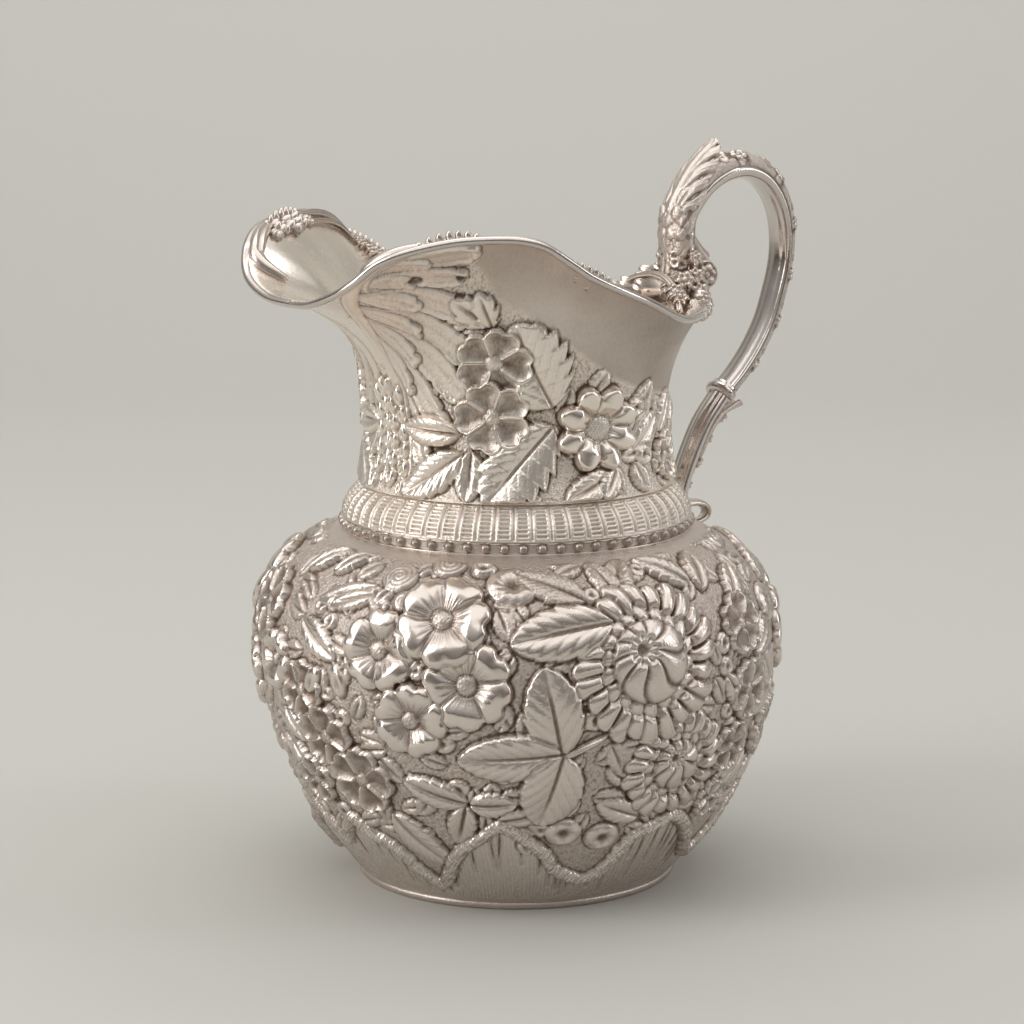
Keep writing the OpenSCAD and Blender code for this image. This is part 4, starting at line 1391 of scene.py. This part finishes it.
def build_rim():
    u = np.linspace(0, 1, 90)
    arch = np.sin(math.pi * u)
    for name, node, a0, a1, width in (
            ("rim_scrolls_front_looks", "rim_scrolls_front", 17, 35, 5.0),
            ("rim_scrolls_side_looks", "rim_scrolls_side", 46, 71, 3.8)):
        build = Build()
        # a rail along the lip, which hooks inward at its spout end
        if a0 < 40:
            rails = ((0.980, width, 0.0, 0.075),)
        else:
            rails = ((0.980, width * 0.75, 0.0, 0.0), (0.945, width * 0.6, 0.05, 0.0))
        for inset, wide, trim, drop in rails:
            a = a0 + (a1 - a0) * (trim + (1 - trim) * u)
            hook = np.clip((0.34 - u) / 0.34, 0, 1)
            t = inset - drop * hook**1.5
            point, inward = rim_line(a + 24 * drop * hook**2, t, WALL + 0.2)
            c_scroll(build, point, inward.mean(0), wide, 1.6 if a0 > 40 else 2.5, taper=0.35)
        build.done(name, node, cast)

    for name, node, mid, span, r, seed in (
            ("rim_flowers_front_looks", "rim_flowers_front", 39.5, 4.0, 5.2, 1),
            ("rim_flowers_side_looks", "rim_flowers_side", 76, 4.0, 3.6, 7)):
        build = Build()
        # a shell of rounded lobes over the lip, with florets below it
        for k in range(7):
            w = (k - 3) / 3
            p, n = rim_line(mid + w * span * 1.5, 0.985, WALL + 0.3)
            rise = 2.9 - 1.4 * w * w
            blade(build, p + n * 0.6 - (0, 0, 1.4), p + (0, 0, rise + 0.4) - n * 0.4, n, 2.4, 1.8,
                  bend=0.12)
        for k, (da, t, s) in enumerate(((0, 0.952, 0.8), (-1.0, 0.958, 0.66), (1.0, 0.958, 0.66),
                                        (-1.9, 0.95, 0.45), (1.9, 0.95, 0.45))):
            p, n = rim_line(mid + da * span, t, WALL + 0.2)
            flower_button(build, p, n, np.array([0, 0, 1.0]), r * s, 6 + k % 2, turn=25 * k, dome=0.8)
        build.done(name, node, cast)

    # arched scroll at the back of the rim with a polished lobe inside it
    build = Build()
    for inset, rise, wide, span in ((0.975, 5.8, 2.6, 46), (0.968, 4.2, 1.5, 35)):
        a = 180 + span * (u - 0.5)
        point, inward = rim_line(a, inset - 0.06 * (1 - arch), WALL + 1.2, rise * arch**0.7)
        c_scroll(build, point, inward.mean(0) + (0, 0, 0.8), wide, 1.5, taper=0.7, both=False)
    # polished lobe under the arch
    lat = np.linspace(-math.pi / 2, math.pi / 2, 26)[:, None]
    c, s = circle(48)
    dome = np.stack([3.0 * np.sin(lat) + 0 * c, 9.0 * np.cos(lat) * c, 4.4 * np.cos(lat) * s], -1)
    build.rings(dome[:, ::-1] + (53.4, 0, 177.0), polish=1.0)
    for k in range(9):
        p, n = rim_line(150 - 3.4 * k, 0.985, WALL + 0.3)
        flower_button(build, p + (0, 0, 0.2), n + (0, 0, 1.2), np.array([0, 0, 1.0]), 1.5 - 0.07 * k, 5,
                      turn=20 * k, dome=0.7)
    build.done("rim_scrolls_back_looks", "rim_scrolls_back", cast)


# ------------------------------------------------------------------ handle

STRAP_LENGTH = 140.0


def line_frames(rows, t):
    """Centre, direction and outward vector of a line in the mirror plane."""
    t = np.asarray(t, float)
    e = 0.01
    lo, hi = np.maximum(t - e, 0), np.minimum(t + e, 1)
    c = np.stack([curve(rows, t, 1), 0 * t, curve(rows, t, 2)], -1)
    d = np.stack([curve(rows, hi, 1) - curve(rows, lo, 1), 0 * t,
                  curve(rows, hi, 2) - curve(rows, lo, 2)], -1)
    d /= np.linalg.norm(d, axis=-1, keepdims=True)
    out = np.stack([-d[..., 2], 0 * t, d[..., 0]], -1)
    return c, d, out


def strap_size(t):
    a = 5.9 * (1 - 0.12 * np.clip((t - 0.3) / 0.3, 0, 1))
    b = 4.4 * (1 - 0.48 * np.clip((t - 0.36) / 0.3, 0, 1))
    return a, b


def half_section(a, b, phi, power=0.6):
    """Sideways and outward offsets of the rounded section at angles phi, in degrees."""
    c, s = np.cos(np.radians(phi)), np.sin(np.radians(phi))
    return a * c, b * np.sign(s) * np.abs(s) ** power


def pit(r):
    """Dark drilled hole."""
    def f(x, y):
        rho = np.hypot(x, y)
        return r - rho, -0.5 * smooth(r, 0.4 * r, rho), np.full_like(x, 0.2), np.full_like(x, 1.0)
    return f


def build_handle():
    y_axis = np.array([0, 1.0, 0])

    # outer half, chased with little flowers on a matted ground
    t = np.linspace(0, 1, 420)
    phi = np.linspace(0, 180, 64)
    c, _, out = line_frames(STRAP_ROWS, t)
    a, b = strap_size(t)
    sx, sy = half_section(a[:, None], 1.05 * b[:, None], phi[None, :])
    arc = np.concatenate([np.zeros((len(t), 1)), np.cumsum(np.hypot(np.diff(sx), np.diff(sy)), 1)], 1)
    arc = arc - arc[:, -1:] / 2
    patch = Patch(arc, (t * STRAP_LENGTH)[:, None] + 0 * arc)
    patch.h += 0.05 * np.sin(arc * 4) * np.sin(patch.y * 4.4)
    for k in range(20):
        y = 40 + 5.2 * k
        x = (-3.4, 0.6, 3.6)[k % 3]
        size = 2.6 - 0.2 * (y > 80)
        patch.stamp((x, y), 0, leaf(5, 2.6, teeth=3, height=0.7, lift=0.2, gloss=0.7), 7, 0.6)
        patch.stamp((x, y), 140, leaf(5, 2.6, teeth=3, height=0.7, lift=0.2, gloss=0.7), 7, 0.6)
        flower(patch, (x, y), size, 5, 30 * k, "plain", lift=0.2, centre=0.3)
        patch.stamp((x + 2.9, y + 2.2), 0, pit(0.95), 2)
        if k % 2:
            patch.stamp((-x * 0.8 - 2.0, y + 2.6), 0, pit(0.8), 2)
    for y, x, turn, size in ((3, 0, 90, 9), (8, -4, 60, 8), (8, 4, 120, 8), (14, -5, 80, 8),
                             (14, 5, 100, 8), (13, 0, 90, 10)):
        patch.stamp((x, y), turn, leaf(size, 4.5, teeth=4, height=1.0, gloss=0.6), size + 2, 0.25)
    flower(patch, (5.5, 11), 3.6, 5, 10, "cup", lift=0.3, centre=0.3)
    flower(patch, (-5.5, 11), 3.6, 5, 50, "cup", lift=0.3, centre=0.3)
    patch.h *= 0.5 * (smooth(0, 0.9, arc - arc[:, :1]) + smooth(0, 0.9, arc[:, -1:] - arc))
    shell = c[:, None] + y_axis * sx[..., None] + out[:, None] * sy[..., None]
    mat_ground(patch, 8, 0.05)
    shell = shell + normals(shell, False) * (patch.h * 0.26)[..., None]
    back = np.linspace(172, 8, 12)
    bx, by = half_section(a[:, None] - 1.3, 1.05 * b[:, None] - 1.2, back[None, :])
    inside = c[:, None] + y_axis * bx[..., None] + out[:, None] * by[..., None]
    pad = np.zeros((len(t), 12))
    build = Build()
    build.rings(np.concatenate([shell, inside], 1),
                polish=np.concatenate([np.clip(patch.polish * 0.9, 0, 1), pad + 0.5], 1),
                tarnish=np.concatenate([patch.dark * 0.8, pad], 1),
                cavity=np.concatenate([patch.h - blur(patch.h, 3, 2, False), pad], 1))
    build.done("handle_outer_looks", "handle_outer_half", cast)

    # inner half, polished, with a soft ridge down its middle
    t = np.linspace(0, 1, 260)
    c, _, out = line_frames(STRAP_ROWS, t)
    a, b = strap_size(t)
    phi = np.linspace(180, 360, 52)
    flat = np.where(t < 0.5, 0.95, 0.95 - 0.25 * (t - 0.5) / 0.5)
    sx, sy = half_section(a[:, None] * 1.01, (flat * b)[:, None], phi[None, :], 0.5)
    mid = np.abs(sx / a[:, None])
    sy = sy * (1 - 0.10 * np.exp(-(((mid - 0.55) / 0.22) ** 2)) * smooth(0.35, 0.6, t)[:, None])
    bx, by = half_section(a[:, None] - 1.3, (flat * b)[:, None] - 1.2, np.linspace(352, 188, 12)[None, :])
    grid = (c[:, None] + y_axis * np.concatenate([sx, bx], 1)[..., None]
            + out[:, None] * np.concatenate([sy, by], 1)[..., None])
    build = Build()
    build.rings(grid, polish=0.95)
    build.done("handle_inner_looks", "handle_inner_half", polished)

    # thumb leaf: wraps the front of the strap, then lifts off it into a point
    s = np.linspace(0, 1, 210)
    t = 0.085 + 0.243 * s
    c, d, out = line_frames(STRAP_ROWS, t)
    a, b = strap_size(t)
    w = np.linspace(-1, 1, 121)
    wide = np.interp(s, [0, .1, .25, .55, .75, .9, .97, 1], [60, 96, 108, 108, 98, 80, 56, 14])
    phase = s * 4.0 + 0.15
    part = phase - np.floor(phase)
    notch = 1 - 0.20 * (1 - np.sin(math.pi * part) ** 0.5) * smooth(0.05, 0.2, s)
    phi = 90 + w[None, :] * (wide * notch)[:, None]
    grow = 1 - 0.22 * smooth(0.6, 1.0, s)[:, None]
    sx, sy = half_section((a[:, None] + 1.0) * grow, 1.05 * b[:, None] + 0.1, phi, 0.8)
    sy = sy + (4.8 * s**3)[:, None]
    base = c[:, None] + y_axis * sx[..., None] + out[:, None] * sy[..., None]
    arc = np.concatenate([np.zeros((len(s), 1)), np.cumsum(np.hypot(np.diff(sx), np.diff(sy)), 1)], 1)
    arc = arc - arc[:, 60:61]
    run = (s * 0.243 * STRAP_LENGTH)[:, None] + 0 * arc
    q = np.abs(w)[None, :]
    side = smooth(0.10, 0.35, q)
    sweep_line = run - 1.7 * np.abs(arc)
    fold = sweep_line / 7.5 + 0.25
    off = np.abs(fold - np.round(fold)) * 7.5
    crease = np.exp(-((off / 0.75) ** 2)) * side
    puff = np.sin(0.5 * math.pi * np.clip(off / 3.75, 0, 1)) ** 0.7
    vein = np.cos(TURN * sweep_line / 1.9)
    hole = np.exp(-((off / 0.95) ** 2)) * np.exp(-(((q - 0.66) / 0.10) ** 2)) * smooth(0.15, 0.3, s)[:, None]
    patch = Patch(arc, run)
    patch.h = (0.4 + 0.7 * np.exp(-((arc / 0.9) ** 2)) + (0.85 * puff + 0.08 * vein) * side - 0.7 * crease)
    patch.polish = 0.42 - 0.2 * crease + 0.08 * vein * side
    patch.dark = 0.30 * crease + 0.16 * smooth(0.1, -1, vein) * side
    # blossom and small leaves low on each side of it
    for x in (-1, 1):
        for y, turn in ((13.5, 75), (3.5, 255)):
            patch.stamp((x * 3.6, y), 90 + x * (turn - 90), leaf(6.5, 4.5, teeth=3, height=0.5, gloss=0.5),
                        8, 0.25)
        flower(patch, (x * 3.8, 9.0), 4.6, 5, 20, "plain", lift=0.1, centre=0.16)
        for y, spot in ((9.0, 3.8), (13.0, 8.0), (6.0, 8.2)):
            patch.stamp((x * spot, y), 0, pit(0.95), 2, 0.2)
    patch.h *= 0.48 * (1 - 0.6 * smooth(15, 11, run))
    patch.polish = np.minimum(patch.polish, 0.45)
    h = patch.h * smooth(0, 0.06, 1 - q) * smooth(0, 0.04, s)[:, None] - 0.7 * hole
    top = base + normals(base, False) * h[..., None]
    under = base - normals(base, False) * 0.45
    build = Build()
    pad = np.zeros_like(h)
    span = patch.h - blur(patch.h, 3, 3, False)
    build.rings(np.concatenate([top, under[:, ::-1]], 1),
                polish=np.concatenate([np.clip(patch.polish, 0, 1), pad + 0.6], 1),
                tarnish=np.concatenate([np.clip(patch.dark + 2.0 * hole, 0, 1), pad], 1),
                cavity=np.concatenate([span, pad], 1))
    build.done("thumb_leaf_looks", "handle_thumb_leaf", cast)

    # volute at the root of the handle
    hub = np.array([69.4, 0, 181.4])
    width = np.array([-4.1, -4.1, -3.6, -3.0, 0, 3.0, 3.6, 4.1, 4.1])
    radius = np.array([0.05, 4.2, 4.9, 4.6, 4.4, 4.6, 4.9, 4.2, 0.05])
    width = np.interp(np.linspace(0, 8, 49), np.arange(9), width)
    radius = np.interp(np.linspace(0, 8, 49), np.arange(9), radius)
    ang = np.linspace(0, TURN, 96, endpoint=False)
    wave = 0.16 * np.cos(ang * 14)[None, :] * (radius[:, None] > 4.3)
    rr = radius[:, None] + wave
    grid = hub + np.stack([rr * np.sin(ang), width[:, None] + 0 * rr, rr * np.cos(ang)], -1)
    build = Build()
    build.rings(grid, polish=0.6, tarnish=0.25)
    for side in (1, -1):
        medallion(build, hub + (0, 4.0 * side, 0), (0, side, 0), (0, 0, 1), 4.9, volute_face,
                  both=False, dome=0.6, rings=26)
    # the strap's inner face runs down into the volute
    u = np.linspace(0, 1, 30)
    line = np.stack([62.6 + 8.2 * u + 0.8 * np.sin(math.pi * u), 0 * u,
                     196 - 9.8 * u - 1.6 * np.sin(math.pi * u)], -1)
    _, side, lift = path_frames(line, np.array([1.0, 0, 1.0]))
    cc, ss = circle(28)
    size = np.interp(u, [0, 1], [4.9, 4.2])
    build.rings(sweep(line, side, lift, np.stack([size[:, None] * cc, (2.2 + 0.8 * u)[:, None] * ss], -1)),
                polish=0.55, tarnish=0.3 * (np.abs(ss) < 0.35) + 0 * u[:, None])
    build.done("root_scroll_looks", "handle_root_scroll", cast)

    # flowers that hide the joint with the rim
    build = Build()
    ang = np.linspace(0, TURN, 72, endpoint=False)[::-1]
    lat = np.radians(np.linspace(-88, 88, 40))
    core = np.stack([5.0 * np.cos(lat)[:, None] * np.cos(ang), 0 * lat[:, None] + 12.6 * np.cos(lat)[:, None]
                     * np.sin(ang), 4.6 * np.sin(lat)[:, None] + 0 * ang], -1)
    rough = 1 + 0.06 * np.sin(core[..., 1] * 2.3) * np.sin(core[..., 0] * 2.9 + core[..., 2] * 2.1)
    build.rings((core * rough[..., None] + (62.2, 0, 173.2))[:, ::-1], polish=0.5, tarnish=0.3)
    rng = np.random.default_rng(12)
    for k in range(26):
        side = math.radians(8 + 150 * (k * 0.618 % 1.0))
        tip = -0.9 + 1.9 * ((k * 0.381) % 1.0)
        n = unit((math.cos(side * 0.62) * 0.9 + 0.1, math.sin(side * 0.62) * 0.55, tip * 0.75))
        at = np.array([62.2, 0, 173.2]) + n * (5.0, 12.6, 4.6) * (1.02 + 0.05 * rng.uniform())
        flower_button(build, at, n * (1, 0.45, 1), (0.1, 0, 1), rng.uniform(1.9, 3.1), 5 + k % 2, 37 * k,
                      dome=1.0, sink=1.5)
    for x, y, z, r in ((53.6, 7.0, 177.6, 3.6), (51.4, 12.4, 177.4, 3.4), (49.6, 17.0, 176.4, 3.0),
                       (57.0, 10.0, 180.4, 3.8),
                       (62.0, 9.0, 181.6, 3.4), (61.0, 12.4, 177.0, 3.6), (63.0, 7.6, 187.0, 2.8)):
        flower_button(build, (x, y, z), (-0.55, 0.75, 0.45), (0, 0, 1), r, 6, 12 + 7 * x, dome=1.6, sink=3.0)
    for x, y, z, r in ((66.9, 4.4, 172.4, 3.6), (63.6, 9.6, 173.6, 3.3), (59.6, 14.6, 175.8, 2.8)):
        flower_button(build, (x, y, z), (x - 57, y * 0.8, 2.0), (0, 0, 1), r, 6, 12, dome=1.4, sink=2.0)
    build.done("root_flowers_looks", "handle_root_flowers", cast)

    # flared lip where the upper handle ends
    build = Build()
    tilt = math.radians(42)
    axis = np.array([math.sin(tilt), 0, math.cos(tilt)])
    wide = np.array([math.cos(tilt), 0, -math.sin(tilt)])
    ang = np.linspace(0, TURN, 96, endpoint=False)
    rows = [(-1.5, 0.05), (-1.5, 4.6), (-1.2, 5.6), (-0.5, 6.25), (0.3, 6.45), (0.9, 6.2), (1.5, 5.6),
            (2.4, 5.3), (2.4, 0.05)]
    rows = np.array(rows)
    h = np.interp(np.linspace(0, 8, 41), np.arange(9), rows[:, 0])
    r = np.interp(np.linspace(0, 8, 41), np.arange(9), rows[:, 1])
    grid = (np.array([79.6, 0, 142.7]) + axis * (h[:, None, None] + 0.9 * np.cos(ang)[None, :, None] ** 2)
            + wide * (0.62 * r[:, None] * np.cos(ang))[..., None]
            + y_axis * (r[:, None] * np.sin(ang))[..., None])
    build.rings(grid, polish=0.95)
    build.done("joint_collar_looks", "handle_joint_collar", polished)

    # lower branch, polished towards the body, and its matted leaf with a spur
    t = np.linspace(0, 1, 120)
    c, _, out = line_frames(BRANCH_ROWS, t)
    a = 4.7 - 0.5 * t
    cc, ss = circle(56)
    sx = a[:, None] * cc
    sy = 2.2 * np.sign(ss) * np.abs(ss) ** 0.75 * (1 - 0.16 * np.exp(-(((np.abs(cc) - 0.5) / 0.2) ** 2)))
    grid = c[:, None] + y_axis * sx[..., None] + out[:, None] * (sy + 0 * sx)[..., None]
    build = Build()
    build.rings(grid, polish=0.95)
    build.done("lower_branch_looks", "handle_lower_branch", polished)

    u = np.linspace(0, 1, 150)
    t = 0.02 + 0.77 * u
    c, d, out = line_frames(BRANCH_ROWS, t)
    w = np.linspace(-1, 1, 45)
    half = np.interp(u, [0, .06, .2, .6, 1], [2.4, 3.4, 4.3, 4.0, 1.0])
    spur = 6.6 * np.exp(-u / 0.10)
    back = 3.2 * np.exp(-u / 0.07)
    sx = half[:, None] * w
    sy = 1.9 + 1.5 * np.sqrt(np.clip(1 - 0.85 * w**2, 0, 1)) + spur[:, None] * (1 - 0.25 * w**2)
    patch = Patch(sx, (u * 34)[:, None] + 0 * sx)
    for k in range(7):
        flower(patch, ((-1.6, 1.5)[k % 2], 6 + 4.4 * k), 2.1, 5, 40 * k, "plain", lift=0.1, centre=0.3)
        patch.stamp(((1.6, -1.7)[k % 2], 5 + 4.4 * k), 0, pit(0.6), 2)
    top = (c[:, None] - d[:, None] * back[:, None, None] + y_axis * sx[..., None]
           + out[:, None] * (sy + 0.55 * patch.h)[..., None])
    low = (c[:, None] - d[:, None] * back[:, None, None] + y_axis * sx[..., None]
           + out[:, None] * (np.maximum(sy - 1.5, 0.9) + 0 * sx)[..., None])
    pad = np.zeros_like(sx)
    build = Build()
    build.rings(np.concatenate([top[:, ::-1], low], 1),
                polish=np.concatenate([0.9 * patch.polish[:, ::-1], pad + 0.5], 1),
                tarnish=np.concatenate([patch.dark[:, ::-1], pad], 1),
                cavity=np.concatenate([(patch.h - blur(patch.h, 3, 2, False))[:, ::-1], pad], 1))
    build.done("lower_leaf_looks", "handle_lower_leaf", cast)

    # rolled scroll at the foot of the handle
    u = np.linspace(0, 1, 80)
    ang = np.radians(170 - 400 * u)
    r = 6.2 - 4.4 * u
    line = np.stack([69.4 + 1.15 * r * np.cos(ang), 0 * u, 105.2 + 0.62 * r * np.sin(ang) - 2.0 * u], -1)
    tangent = np.gradient(line, axis=0)
    tangent /= np.linalg.norm(tangent, axis=1, keepdims=True)
    up = np.cross(tangent, y_axis)
    cc, ss = circle(24)
    size = 1.0 - 0.45 * u
    groove = 1 - 0.3 * np.exp(-(cc / 0.3) ** 2) * (ss > 0)
    section = np.stack([3.0 * size[:, None] * cc, 1.35 * size[:, None] * ss * groove], -1)
    build = Build()
    build.rings(sweep(line, np.repeat(y_axis[None], 80, 0), -up, section), polish=0.85,
                tarnish=0.2 + 0 * section[..., 0])
    build.done("foot_scroll_looks", "handle_foot_scroll", cast)

build_body()
build_neck()
build_collar()
build_beads()
build_lip_wire()
build_base()
build_rim()
build_handle()
build_scene()
for name, thing in list(bpy.data.objects.items()):
    if thing.type == "MESH" and not thing.data.materials:
        thing.data.materials.append(polished)

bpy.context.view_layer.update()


def plain(box):
    return [[float(v) for v in corner] for corner in box]
